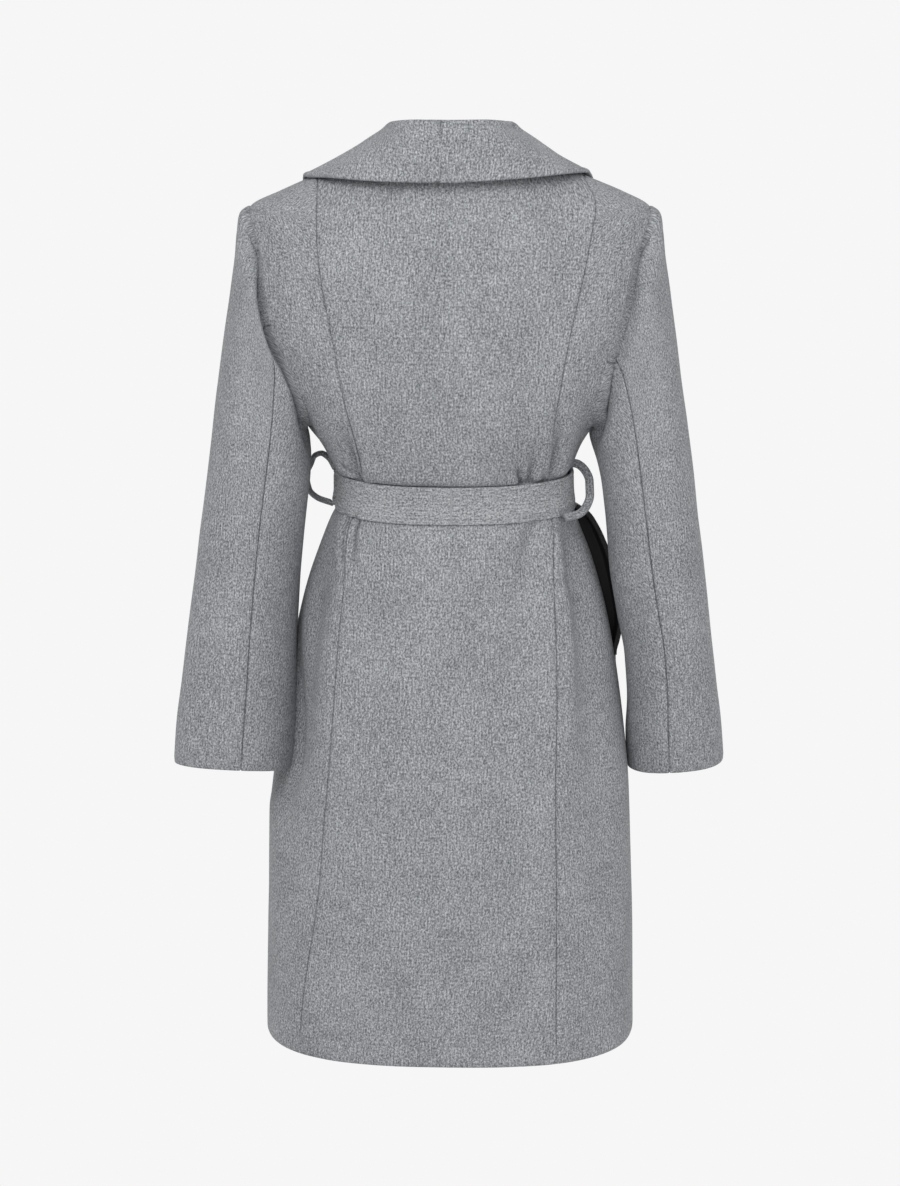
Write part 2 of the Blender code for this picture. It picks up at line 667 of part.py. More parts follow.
def collar_section(s, side):
    """The collar's middle layer from just above the neck seam over the roll to its edge."""
    seam, normal, away, roll, out = collar_roll(s, side)
    radius = roll_radius.read("radius", s)
    up = (roll - seam).normalized()
    up = (up - out * up.dot(out)).normalized()
    centre = roll - up * radius
    inside, outside = centre - out * radius, centre + out * radius
    start = seam + away * COLLAR_GAP - normal * (CLOTH / 2)
    points = [start, start.lerp(inside, 0.5), inside]
    for turn in (math.radians(50), math.radians(90), math.radians(130)):
        points.append(centre + (up * math.sin(turn) - out * math.cos(turn)) * radius)
    points.append(outside)
    if s <= 3.0:
        return points + fall_behind(s, side, outside)
    blend = smooth((s - 3.0) / 0.5)
    before = fall_before(s, side, (outside - seam).dot(normal))
    behind = fall_behind(3.0, side, outside)
    return points + [a * (1 - blend) + b * blend for a, b in zip(behind, before)]


def collar(name, side):
    places = [(s, side) for s in COLLAR_STATIONS]
    start = COLLAR_SEAM_X / 36.0
    places = [(start, 1)] + ([(0.0, 1)] if side < 0 else []) + places
    middle = [collar_section(*place) for place in places]
    face, back = [], []
    for place, row, normals in zip(places, middle, grid_normals(middle, side)):
        face.append([point + out * COLLAR_CLOTH / 2 for point, out in zip(row, normals)])
        back.append([point - out * COLLAR_CLOTH / 2 for point, out in zip(row, normals)])
        seam, normal, away = neck_edge(*place)
        back[-1][0] = seam + away * COLLAR_GAP
        face[-1][0] = back[-1][0] - normal * CLOTH
    drawn_in = Vector((side * SEAM_GAP / 2, 0.0, 0.0))
    for grid in (face, back):
        grid[0] = [Vector((COLLAR_SEAM_X, point.y, point.z)) + drawn_in for point in grid[0]]
    add_wall(f"collar_{name}", face, back, WOOL)


def grid_normals(grid, side=1):
    """Normal at each point of an open grid, from its neighbours."""
    normals = []
    for i, row in enumerate(grid):
        normals.append([])
        for j in range(len(row)):
            along = grid[min(i + 1, len(grid) - 1)][j] - grid[max(i - 1, 0)][j]
            across = row[min(j + 1, len(row) - 1)] - row[max(j - 1, 0)]
            normals[-1].append(along.cross(across).normalized() * side)
    return normals


def pocket_lining():
    """Valley of dark cloth between the two edges of the gaping side pocket."""
    face, back = [], []
    for z in [z for z in LEVELS if -484.0 <= z <= -394.0]:
        behind = body_point(set_back(-90.0, z, 1), z) + Vector((CLOTH + 1.6, 0.0, 0.0))
        before = right_front_point(set_back(270.0, z, -1), z) + Vector((CLOTH + 3.2, -4.0, 0.0))
        deep = Vector((0.0, -POCKET_DEPTH, 0.0))
        tucked = behind + Vector((0.0, 8.0, 0.0))
        row = [tucked, behind, behind + deep, behind.lerp(before, 0.8) + deep, before]
        hidden = [Vector((x, y, 0.0)) * LINING_CLOTH for x, y in LINING_SIDES]
        face.append(row)
        back.append([point + way for point, way in zip(row, hidden)])
    add_wall("pocket_lining_right", face, back, LINING)


def belt_radius(angle, z):
    """Inside of the belt: just clear of what it goes round."""
    under = right_front_point if 90.0 < angle % 360.0 < 270.0 else body_point
    return max(under(angle, z).xy.length, body_point(angle, z).xy.length) + BELT_CLEAR


def belt_band():
    steps = 48
    angles = [360.0 * i / steps for i in range(steps)]
    inner = [[body_direction(angle) * belt_radius(angle, z) + Vector((0.0, 0.0, z)) for angle in angles]
             for z in BELT_ROWS]
    ways = [body_direction(angle) * BELT_CLOTH for angle in angles]
    outer = [[point + way for point, way in zip(row, ways)] for row in inner]
    add_wall("belt_band", outer, inner, BELT_WOOL, tube=True)


def loop(name, table, twist):
    """Belt loop: a flat strip with round edges along a route."""
    route = Curves(table)
    last = int(route.at[-1])
    rings = []
    steps = 11
    for i in range(steps + 1):
        s = last * i / steps
        here = Vector([route.read(axis, s) for axis in "xyz"])
        before, after = max(s - 0.1, 0), min(s + 0.1, last)
        ahead = Vector([route.read(axis, after) - route.read(axis, before) for axis in "xyz"]).normalized()
        across = Vector((0.0, 1.0, 0.25)).cross(ahead).normalized()
        along_belt = ahead.cross(across).normalized()
        wide = along_belt * math.cos(twist) + across * math.sin(twist)
        thin = across * math.cos(twist) - along_belt * math.sin(twist)
        ring = []
        for k in range(8):
            turn = math.radians(45.0 * k + 22.5)
            across_strip = wide * (math.cos(turn) * LOOP_WIDTH / 2)
            ring.append(here + across_strip + thin * (math.sin(turn) * LOOP_THICK / 2))
        rings.append(ring)
    points = [point for ring in rings for point in ring]
    faces = [list(range(8)), [len(points) - 8 + k for k in reversed(range(8))]]
    for i in range(steps):
        for k in range(8):
            faces.append([i * 8 + k, i * 8 + (k + 1) % 8, (i + 1) * 8 + (k + 1) % 8, (i + 1) * 8 + k])
    add_solid(name, points, faces, WOOL)


def knot():
    """Rounded knot in front of the band, where the two ends come out."""
    angle = angle_at(KNOT["x"], BELT_MID_Z, -1)
    distance = belt_radius(angle, BELT_LOW_Z) + BELT_CLOTH + 0.9 + KNOT["thick"] / 2
    middle = body_direction(angle) * distance + Vector((0.0, 0.0, KNOT["z"]))
    bpy.ops.mesh.primitive_cube_add(size=1.0, location=middle * MM)
    part = bpy.context.object
    part.name = part.data.name = "belt_knot"
    part.scale = Vector((KNOT["width"], KNOT["thick"], KNOT["height"])) * MM
    bpy.ops.object.transform_apply(location=False, rotation=False, scale=True)
    bevel = part.modifiers.new("round", "BEVEL")
    bevel.width = KNOT["bevel"] * MM
    bevel.segments = 3
    part.data.materials.append(material("belt_knot", BELT_WOOL))
    for collection in part.users_collection:
        collection.objects.unlink(part)
    bpy.data.collections[COAT_NAME].objects.link(part)


def belt_end(name, end):
    """A hanging end of the belt, lying on the right front."""
    steps = 14
    top_z = KNOT["z"] - KNOT["height"] / 2 - 5.0
    face, back = [], []
    for i in range(steps + 1):
        z = top_z - end["length"] * i / steps
        middle_x = end["x"] + end["lean"] * smooth(i / steps) + (end["x"] - KNOT["x"]) * 0.2
        off = end["off"] + 4.5 * (1 - smooth(i / 4))
        face_row, back_row = [], []
        for k in range(4):
            x = middle_x + BELT_WIDTH * (k / 3 - 0.5) * (0.72 + 0.28 * smooth(i / 4))
            angle = angle_at(x, z, -1)
            point = right_front_point(angle, z)
            normal = body_normal(angle, z, right_front_point)
            back_row.append(point + normal * off)
            face_row.append(point + normal * (off + BELT_CLOTH))
        face.append(face_row)
        back.append(back_row)
    add_wall(name, face, back, BELT_WOOL)


def build():
    for old in list(bpy.data.objects):
        bpy.data.objects.remove(old)
    bpy.context.scene.collection.children.link(bpy.data.collections.new(COAT_NAME))
    back_centre()
    for name, side in (("left", 1), ("right", -1)):
        back_side(f"back_side_{name}", side)
        sleeve(name, side)
        collar(name, side)
        belt_end(f"belt_end_{name}", BELT_ENDS[name])
    front("front_left", 1, body_point)
    front("front_right", -1, right_front_point)
    pocket_lining()
    belt_band()
    knot()
    loop("belt_loop_left", LOOP_LEFT, math.radians(LOOP_TWIST["left"]))
    loop("belt_loop_right", LOOP_RIGHT, math.radians(LOOP_TWIST["right"]))


build()
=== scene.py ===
import bpy
import numpy as np
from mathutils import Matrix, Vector


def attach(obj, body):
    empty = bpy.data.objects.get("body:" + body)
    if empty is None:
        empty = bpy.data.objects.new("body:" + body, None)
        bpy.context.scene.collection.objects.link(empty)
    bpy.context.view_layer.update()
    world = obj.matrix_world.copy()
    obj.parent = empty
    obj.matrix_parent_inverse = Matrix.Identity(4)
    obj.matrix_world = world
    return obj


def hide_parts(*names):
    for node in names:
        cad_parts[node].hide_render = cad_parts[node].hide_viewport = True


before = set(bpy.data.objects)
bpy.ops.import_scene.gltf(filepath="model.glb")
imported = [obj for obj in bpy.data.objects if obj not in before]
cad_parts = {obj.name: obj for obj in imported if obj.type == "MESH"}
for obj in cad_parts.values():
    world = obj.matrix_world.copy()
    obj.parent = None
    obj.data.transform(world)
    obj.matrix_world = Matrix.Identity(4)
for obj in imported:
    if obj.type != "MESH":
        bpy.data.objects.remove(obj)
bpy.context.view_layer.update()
print("frame loaded,", len(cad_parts), "CAD nodes")

# All lengths below are in millimetres until a mesh is made. The coat faces -Y, +X is the wearer's left.
mm = 0.001
neckZ, tipZ, underarmZ, hemZ = -1.5, -66, -293, -949
sideTopZ = -34  # where the princess seams start, at the shoulder
neckDrop = 12  # how far the back's neck edge hangs below its two ends
seamGap = 0.1  # between the cut edges of two pieces that are sewn together
upwards = np.array([0, 0, 1])


def curves(names, rows):  # smooth curves through a table's columns, read against its first one
    rows = np.array(sorted(rows), float)
    at, made = rows[:, 0], {}
    for i, name in enumerate(names.split()):
        column = rows[:, i]
        steps = np.diff(column) / np.diff(at)
        before, after = steps[:-1], steps[1:]
        level = before * after <= 0
        inner = np.where(level, 0, 2 * before * after / np.where(level, 1, before + after))
        made[name] = (at, column, np.concatenate([steps[:1], inner, steps[-1:]]))
    return made


def read(table, name, where):
    at, column, slope = table[name]
    where = np.clip(where, at[0], at[-1])
    i = np.clip(np.searchsorted(at, where) - 1, 0, len(at) - 2)
    span = at[i + 1] - at[i]
    t = (where - at[i]) / span
    rise = (column[i + 1] - column[i]) * t * t * (3 - 2 * t)
    return column[i] + rise + span * t * (1 - t) * (slope[i] * (1 - t) - slope[i + 1] * t)


def readAll(table, names, where):
    return [read(table, name, where) for name in names.split()]


def smooth(t):
    t = np.clip(t, 0, 1)
    return t * t * (3 - 2 * t)


def between(where, low, high):  # rises smoothly from 0 at low to 1 at high, which may be the lower
    return smooth((where - low) / (high - low))


def bump(away, reach):  # 1 in the middle, fading out at the reach
    return np.exp(-(away / reach) ** 2)


def near(where, at, reach):
    return bump(where - at, reach)


def unit(v):
    return v / np.maximum(np.linalg.norm(v, axis=-1, keepdims=True), 1e-9)


def dot(a, b):
    return (a * b).sum(-1, keepdims=True)


def falling(function, low, high):  # where a function that falls passes nought
    low, high = np.array(low, float), np.array(high, float)
    for _ in range(32):
        middle = (low + high) / 2
        above = function(middle) > 0
        low, high = np.where(above, middle, low), np.where(above, high, middle)
    return (low + high) / 2


# Level sections of the body: half widths, depths, squareness and turn.
sections = curves("z left right back front square turn", [
    (0, 72.5, 72.5, 63, 50, 2, 0), (-17, 104, 104, 71, 63, 2.05, 0), (-34, 138, 138, 78, 76, 2.1, 0),
    (-51, 175.5, 178, 85, 87, 2.2, 0), (-66, 205, 205, 91, 96, 2.3, 0), (-80, 212, 212, 96, 103, 2.35, 0),
    (-110, 213, 213, 104, 118, 2.4, 0), (-150, 208, 208, 111, 131, 2.4, 0),
    (-195, 198, 198, 116, 139, 2.4, 0), (-240, 180, 180, 117, 139, 2.4, 0),
    (-270, 162, 162, 115, 134, 2.4, 0), (-293, 148, 148, 112, 128, 2.4, 0),
    (-312, 134.5, 136.5, 108, 121, 2.4, 0), (-331, 123.5, 129, 103, 113, 2.35, 0),
    (-338.5, 119, 126.5, 100, 110, 2.3, 0), (-342.5, 113.5, 124.5, 95, 105, 2.3, 0),
    (-360, 113.5, 125, 94, 104, 2.3, 0), (-378, 117, 128, 96, 106, 2.3, 0),
    (-385, 121, 131, 99, 109, 2.3, 0), (-395, 126, 134.5, 102, 113, 2.35, 0),
    (-427, 138.5, 147, 109, 122, 2.4, 0), (-456, 148.5, 156, 114, 128, 2.45, 0),
    (-482, 156, 163, 118, 132, 2.5, 0.3), (-537, 169, 174, 124, 138, 2.55, 0.6),
    (-600, 181, 183, 130, 142, 2.6, 1), (-674, 191, 190, 136, 145, 2.65, 1.3),
    (-758, 193.5, 193.5, 140, 148, 2.7, 1.6), (-843, 195.5, 196.5, 143, 150, 2.7, 1.8),
    (-949, 197.5, 198, 145, 151, 2.7, 2)])
princess = curves("z left right", [
    (-34, 134.5, 137), (-55, 134.5, 147), (-88, 134, 142), (-128, 130, 134), (-167, 123, 125),
    (-197, 117, 119), (-238, 110, 112), (-281, 101, 107), (-329, 92, 105), (-359, 92, 103),
    (-385, 103, 105), (-456, 110.5, 108), (-558, 119, 110), (-664, 129, 109), (-771, 138, 111),
    (-880, 154, 111), (-949, 161, 112)])
armhole = curves("z left right front", [
    (-66, 205, 205, 205), (-80, 201.5, 201, 200), (-111, 190, 186.5, 184), (-149, 183, 177.5, 174),
    (-195, 173.5, 166, 165), (-222, 163, 157.5, 157), (-251, 154, 151.5, 150),
    (-275, 149, 148.5, 147.5), (-293, 148, 148, 148)])
frontEdge = curves("z reach", [
    (-1.5, 71.5), (-20, 69), (-60, 63), (-120, 52), (-180, 39), (-240, 20), (-292, 0), (-341, -24),
    (-379, -45), (-430, -60), (-500, -68), (-949, -78)])
pocketMouth = curves("z gape", [
    (-378, 0), (-383, 10), (-394, 16.5), (-410, 19), (-432, 19.5), (-456, 18), (-484, 15.5),
    (-503, 14), (-514, 10.5), (-526, 6), (-536, 2), (-550, 0)])
pocket = {"fade": 38, "lowZ": -540}  # how far round the mouth's gape reaches, and its lower end
lap = {"fromX": -120, "fade": 34, "height": 3.6,  # the right front's step over the left one
       "swell": 9.5, "swellX": -2, "swellZ": -298, "swellWide": 40, "swellLong": 34}

# Soft folds of the body: ridge (depth over 0) or trough, from one point down to another.
foldNames = "side topX topZ lowX lowZ depth reach peak".split()
foldRows = [
    (1, -79, -379, -34, -650, -5, 20, 0.12), (1, -104, -379, -112, -720, 3.5, 18, 0.15),
    (1, 98, -379, 108, -480, 3, 16, 0.15), (1, 118, -440, 140, -640, 3, 26, 0.45),
    (1, -76, -262, -70, -341, -3, 15, 0.85), (1, 104, -262, 96, -341, -3, 15, 0.85),
    (1, 40, -379, 62, -560, -2.5, 22, 0.15),
    (-1, 88, -379, 104, -620, -4, 20, 0.12), (-1, -96, -379, -118, -640, -4, 20, 0.12),
    (-1, 92, -270, 84, -341, -3, 16, 0.85), (-1, -94, -262, -84, -341, -3, 16, 0.85),
    # finer creases above and below the belt, and longer falls in the skirt
    (1, -88, -372, -62, -490, -7, 9, 0.15), (1, -66, -450, -30, -680, -3, 13, 0.25),
    (1, -104, -376, -110, -480, 2.5, 7, 0.2),
    (1, -115, -374, -158, -900, -17, 30, 0.14), (1, -106, -372, -110, -760, 3.5, 9, 0.12),
    (1, 116, -386, 156, -800, -12, 26, 0.25),
    (1, -88, -285, -84, -346, -9, 6, 0.85), (1, -108, -240, -105, -346, -9, 7, 0.85),
    (1, -68, -310, -78, -346, -10, 4.5, 0.85),
    (1, -99, -320, -98, -346, -7, 4, 0.85),
    (1, -118, -270, -116, -346, 2.5, 7, 0.8),
    (1, 104, -262, 93, -346, -9, 6, 0.85), (1, 112, -290, 108, -346, 2.5, 6, 0.85),
    (1, 124, -280, 118, -346, -4, 6, 0.8), (1, 20, -300, 26, -346, -1.5, 12, 0.8),
    (1, 58, -379, 66, -440, -2, 8, 0.2), (1, 96, -374, 98, -450, -8, 5, 0.15),
    (1, 106, -374, 110, -450, -8, 5, 0.15),
    (1, 120, -316, 90, -346, -6, 5, 0.75),
    (1, -164, -500, -185, -665, -5, 30, 0.5), (1, 50, -28, 80, -72, -2.5, 4, 0.4),
    (1, 148, -440, 172, -760, -11, 20, 0.55), (1, 140, -235, 126, -335, -5, 14, 0.55),
    (1, -140, -235, -126, -335, -4, 12, 0.55),
    (1, -192, -85, -146, -305, 9, 24, 0.6), (1, 196, -85, 158, -240, 5, 22, 0.5)]
sidePress = {"topAngle": 75, "lowAngle": 75, "topZ": -470, "lowZ": -706, "depth": -19,
             "reach": 44, "peak": 0.78}  # the sleeve leans on the skirt's left side
crease = {"step": 5, "plain": 1.6, "deep": 8.6, "darkest": 0.9}  # painted shade that darkens sharp bends, and how far

belt = {"cloth": 4, "clear": 0.8, "top": -342.5, "low": -378, "rows": 26, "columns": 288,
        "settle": 10, "radius": 118, "stitch": (3, 0.9), "stitchDepth": 0.8, "lowThin": 1.2,
        "lowReach": 5, "pull": 3, "pulled": (-341.5, 4), "pullEnd": -350.5}  # it draws the body in


def ringRadius(angle, z):
    sine, cosine = np.sin(np.radians(angle)), np.cos(np.radians(angle))
    square = read(sections, "square", z)
    wide = np.where(sine > 0, read(sections, "left", z), read(sections, "right", z))
    deep = np.where(cosine > 0, read(sections, "back", z), read(sections, "front", z))
    return ((np.abs(sine) / wide) ** square + (np.abs(cosine) / deep) ** square) ** (-1 / square)


def levelWay(angle):  # straight out from the middle of the body, at this angle
    angle = np.radians(np.asarray(angle, float))
    return np.stack([np.sin(angle), np.cos(angle), angle * 0], -1)


def plainX(angle, z):
    return ringRadius(angle, z) * np.sin(np.radians(angle + read(sections, "turn", z)))


def angleAt(x, z, side):  # side 1 is the back and -1 the front
    z = np.asarray(z, float) + np.asarray(x, float) * 0
    if side > 0:
        return falling(lambda angle: x - plainX(angle, z), z * 0 - 90, z * 0 + 90)
    return falling(lambda angle: plainX(angle, z) - x, z * 0 + 90, z * 0 + 270)


def wrapped(degrees):
    return (degrees + 180) % 360 - 180


folds = []
for row in foldRows:
    fold = dict(zip(foldNames, row))
    fold["topAngle"] = float(angleAt(fold["topX"], fold["topZ"], fold["side"]))
    fold["lowAngle"] = float(angleAt(fold["lowX"], fold["lowZ"], fold["side"]))
    folds.append(fold)
folds.append(sidePress)


def foldHeight(angle, z):  # each fold swells to its peak and dies away at both ends
    height = 0.0
    for fold in folds:
        t = (fold["topZ"] - z) / (fold["topZ"] - fold["lowZ"])
        peak = fold["peak"]
        strength = np.where(t < peak, smooth(t / peak), smooth((1 - t) / (1 - peak)))
        middle = fold["topAngle"] + (fold["lowAngle"] - fold["topAngle"]) * t
        away = np.radians(wrapped(angle - middle)) * ringRadius(angle, z)
        height = height + fold["depth"] * strength * bump(away, fold["reach"]) * ((t > 0) & (t < 1))
    return height


def paintedCreaseShade(angle, z):  # painted shade: the colour darkens in a sharp crease, as far as the folds bend there
    step = np.degrees(crease["step"] / ringRadius(angle, z))
    bend = foldHeight(angle + step, z) + foldHeight(angle - step, z) - 2 * foldHeight(angle, z)
    return np.clip((bend - crease["plain"]) / (crease["deep"] - crease["plain"]), 0, crease["darkest"])


def bodyPoint(angle, z, out=0):
    pulled = belt["pull"] * near(z, *belt["pulled"]) * (z > belt["pullEnd"])
    radius = ringRadius(angle, z) + foldHeight(angle, z) - pulled + out
    turned = np.radians(angle + read(sections, "turn", z))
    return np.stack([radius * np.sin(turned), radius * np.cos(turned), z + radius * 0], -1)


def rightFrontOut(angle, z):  # the right front laps over the left one, and gapes at its pocket
    x = plainX(angle, z)
    away = ((x - lap["swellX"]) / lap["swellWide"]) ** 2 + ((z - lap["swellZ"]) / lap["swellLong"]) ** 2
    out = lap["height"] * smooth((x - lap["fromX"]) / lap["fade"]) + lap["swell"] * np.exp(-away * away)
    beside = np.radians(np.abs(wrapped(angle - 270))) * ringRadius(angle, z)
    return out + read(pocketMouth, "gape", z) * bump(beside, pocket["fade"])


def rightFrontPoint(angle, z):
    return bodyPoint(angle, z, rightFrontOut(angle, z))


def surfaceNormal(point, angle, z):  # outwards, at an angle and height of a surface of the body
    z = np.clip(z, hemZ + 1, -1)
    across = point(angle + 0.5, z) - point(angle - 0.5, z)
    down = point(angle, z + 1) - point(angle, z - 1)
    normal = unit(np.cross(across, down))
    return normal * np.sign(dot(normal, levelWay(angle)))


def setBack(angle, z, towards):  # half a seam's gap short of it
    return angle + towards * np.degrees(seamGap / 2 / ringRadius(angle, z))


def armholeAngle(z, side, behind):  # where the body's edge at the armhole, or at the side, stands
    z = np.asarray(z, float)
    reach = read(armhole, ("left" if side > 0 else "right") if behind else "front", z)
    if behind:
        found = falling(lambda angle: reach - side * plainX(side * angle, z), z * 0, z * 0 + 90)
    else:
        found = falling(lambda angle: side * plainX(side * angle, z) - reach, z * 0 + 90, z * 0 + 180)
    return side * np.where((z >= tipZ) | (z <= underarmZ), 90.0, found)


def outerEdge(z, side, behind):
    angle = armholeAngle(z, side, behind)
    towards = -side if behind else side
    return np.where(np.abs(angle) == 90.0, setBack(angle, z, towards), angle)


def frontEdgeAngle(z, side):
    angle = angleAt(side * read(frontEdge, "reach", z), z, -1)
    return angle if side > 0 else angle - 360.0


def neckDip(z):  # the back's neck edge hangs lower in its middle
    return neckDrop * smooth(1 - z / tipZ)


# Colours are sRGB hex values.
def linear(colour):
    parts = [int(colour[i:i + 2], 16) / 255 for i in (0, 2, 4)]
    return [p / 12.92 if p <= 0.04045 else ((p + 0.055) / 1.055) ** 2.4 for p in parts] + [1]


def addNode(tree, kind, settings=(), values=(), links=()):
    made = tree.nodes.new("ShaderNode" + kind)
    for name, value in dict(settings).items():
        setattr(made, name, value)
    for name, value in dict(values).items():
        made.inputs[name].default_value = value
    for name, source in dict(links).items():
        tree.links.new(source, made.inputs[name])
    return made


def newMaterial(name, roughness):
    made = bpy.data.materials.new(name)
    made.use_nodes = True
    shader = made.node_tree.nodes["Principled BSDF"]
    shader.inputs["Roughness"].default_value = roughness
    return made, made.node_tree, shader


def woolMaterial(name, look):
    # Woollen coating woven from dark and pale fibres spun together, milled and brushed along the warp:
    # fine specks, faint lengthwise streaks, no shine but a little sheen where it turns away.
    made, tree, shader = newMaterial(name, look["roughness"])
    grain = addNode(tree, "UVMap", {"uv_map": "grain"})

    def pattern(wide, long, rough):  # size of its marks in mm, across and along the warp
        scale = (1000 / wide, 1000 / long, 1)
        place = addNode(tree, "Mapping", {}, {"Scale": scale}, {"Vector": grain.outputs["UV"]})
        values = {"Scale": 1, "Detail": 2, "Roughness": rough}
        return addNode(tree, "TexNoise", {"noise_dimensions": "2D"}, values,
                       {"Vector": place.outputs["Vector"]}).outputs[0]

    def weighed(source, amount):  # swings round nought
        lower = addNode(tree, "Math", {"operation": "SUBTRACT"}, {1: 0.5}, {0: source})
        more = addNode(tree, "Math", {"operation": "MULTIPLY"}, {1: amount}, {0: lower.outputs[0]})
        return more.outputs[0]

    specks, streaks, clouds = (pattern(*look[kind]) for kind in ("specks", "streaks", "clouds"))
    level = addNode(tree, "Math", {"operation": "ADD"}, {1: 0.5}, {0: weighed(specks, look["speckAmount"])})
    for source, amount in ((streaks, look["streakAmount"]), (clouds, look["cloudAmount"])):
        both = {0: level.outputs[0], 1: weighed(source, amount)}
        level = addNode(tree, "Math", {"operation": "ADD"}, {}, both)
    ramp = addNode(tree, "ValToRGB", {}, {}, {"Fac": level.outputs[0]})
    stops = ramp.color_ramp.elements
    stops[0].color, stops[1].color = linear(look["dark"]), linear(look["pale"])
    stops.new(0.5).color = linear(look["middle"])
    # Painted shade: the painted shade each point carries multiplies the colour towards the look's shade
    # colour, darkening seam lines, a stitch line and sharp creases.
    seam = addNode(tree, "Attribute", {"attribute_name": "seam"})
    shade = addNode(tree, "Mix", {"data_type": "RGBA", "blend_type": "MULTIPLY"}, {},
                    {0: seam.outputs["Fac"], 6: ramp.outputs["Color"]})
    shade.inputs[7].default_value = linear(look["seam"])
    tree.links.new(shade.outputs[2], shader.inputs["Base Color"])
    relief = addNode(tree, "Bump", {}, {"Strength": look["relief"], "Distance": look["napDepth"] * mm},
                     {"Height": specks})
    tree.links.new(relief.outputs["Normal"], shader.inputs["Normal"])
    shader.inputs["Specular IOR Level"].default_value = look["specular"]
    shader.inputs["Sheen Weight"].default_value = look["sheen"]
    shader.inputs["Sheen Roughness"].default_value = look["sheenRoughness"]
    return made


def pocketingAndShadeMaterial(name, look):
    # Pocketing woven plain from fine black viscose: an even chequer of threads, and a dull dark surface. Its
    # near-black is also painted shade: it stands in for the shadow inside the gaping pocket mouth.
    made, tree, shader = newMaterial(name, look["roughness"])
    colours = {"Color1": linear(look["warp"]), "Color2": linear(look["weft"]), "Scale": 1}
    weave = addNode(tree, "TexChecker", {}, colours)
    threads = (1000 / look["thread"], 1000 / look["thread"], 1)
    place = addNode(tree, "Mapping", {}, {"Scale": threads},
                    {"Vector": addNode(tree, "UVMap", {"uv_map": "grain"}).outputs["UV"]})
    tree.links.new(place.outputs["Vector"], weave.inputs["Vector"])
    tree.links.new(weave.outputs["Color"], shader.inputs["Base Color"])
    return made


# c4c4c6 is the colour that painted shade along seams and in sharp creases darkens the wool towards.
coatLook = {"dark": "5a5d62", "middle": "97999d", "pale": "d2d4d7", "seam": "c4c4c6",
            "specks": (1.8, 2.4, 0.7),  # the real ones are finer, and wouldn't show
            "streaks": (1.9, 13, 0.6), "clouds": (40, 70, 0.5),
            "speckAmount": 1.85, "streakAmount": 0.72, "cloudAmount": 0.2,
            "relief": 0.5, "napDepth": 0.8, "roughness": 0.95, "specular": 0.25,
            "sheen": 0.06, "sheenRoughness": 0.45}
pocketingAndShadeLook = {"warp": "1a1a1d", "weft": "0d0d0f", "roughness": 0.7,
              "thread": 1 / 1.2}  # coarser than the real threads, which wouldn't show
slots = {"coat_wool": woolMaterial("grey mixture wool coating", coatLook),
         "belt_wool": woolMaterial("grey mixture wool belt", {**coatLook, "middle": "a1a3a6"}),
         "pocket_lining": pocketingAndShadeMaterial("black viscose pocketing and painted pocket shade", pocketingAndShadeLook)}
print("materials made")


def lengthsAcross(grid):  # running length along each row, from its first point
    steps = np.linalg.norm(np.diff(grid, axis=1), axis=-1)
    return np.concatenate([steps[:, :1] * 0, np.cumsum(steps, 1)], 1)


def lengthsDown(grid):
    return lengthsAcross(grid.swapaxes(0, 1)).T


def gridNormals(grid, outward):
    normal = unit(np.cross(np.gradient(grid, axis=1), np.gradient(grid, axis=0)))
    return normal * np.sign((normal * outward).sum())


def ripple(u, v, size, height, seed=0):  # slight unevenness that hanging cloth has
    a = np.sin(u / size * 2.1 + 1.3 * np.sin(v / size * 0.7 + seed) + seed)
    b = np.sin(v / size * 1.1 + 1.7 * np.sin(u / size * 0.9 + seed * 2.3) + seed * 1.7)
    c = np.sin((u + v) / size * 1.6 + 0.8 * np.sin((u - v) / size * 1.2) + seed * 0.6)
    return height * (a + b + c) / 3


def newPiece(name, points, faces, grain, seam, material):  # grain in mm, and how much painted shade darkens each point
    mesh = bpy.data.meshes.new(name)
    mesh.from_pydata(points.tolist(), [], faces)
    corners = np.zeros(len(mesh.loops), np.int32)
    mesh.loops.foreach_get("vertex_index", corners)
    layer = mesh.uv_layers.new(name="grain")
    layer.uv.foreach_set("vector", (grain[corners] * mm).astype(np.float32).ravel())
    shade = mesh.attributes.new("seam", "FLOAT", "POINT")
    shade.data.foreach_set("value", seam.astype(np.float32))
    mesh.shade_smooth()
    mesh.materials.append(material)
    piece = bpy.data.objects.new(name, mesh)
    bpy.context.scene.collection.objects.link(piece)
    return piece


def gridQuads(index):
    return np.stack([index[:-1, :-1], index[1:, :-1], index[1:, 1:], index[:-1, 1:]], -1).reshape(-1, 4)


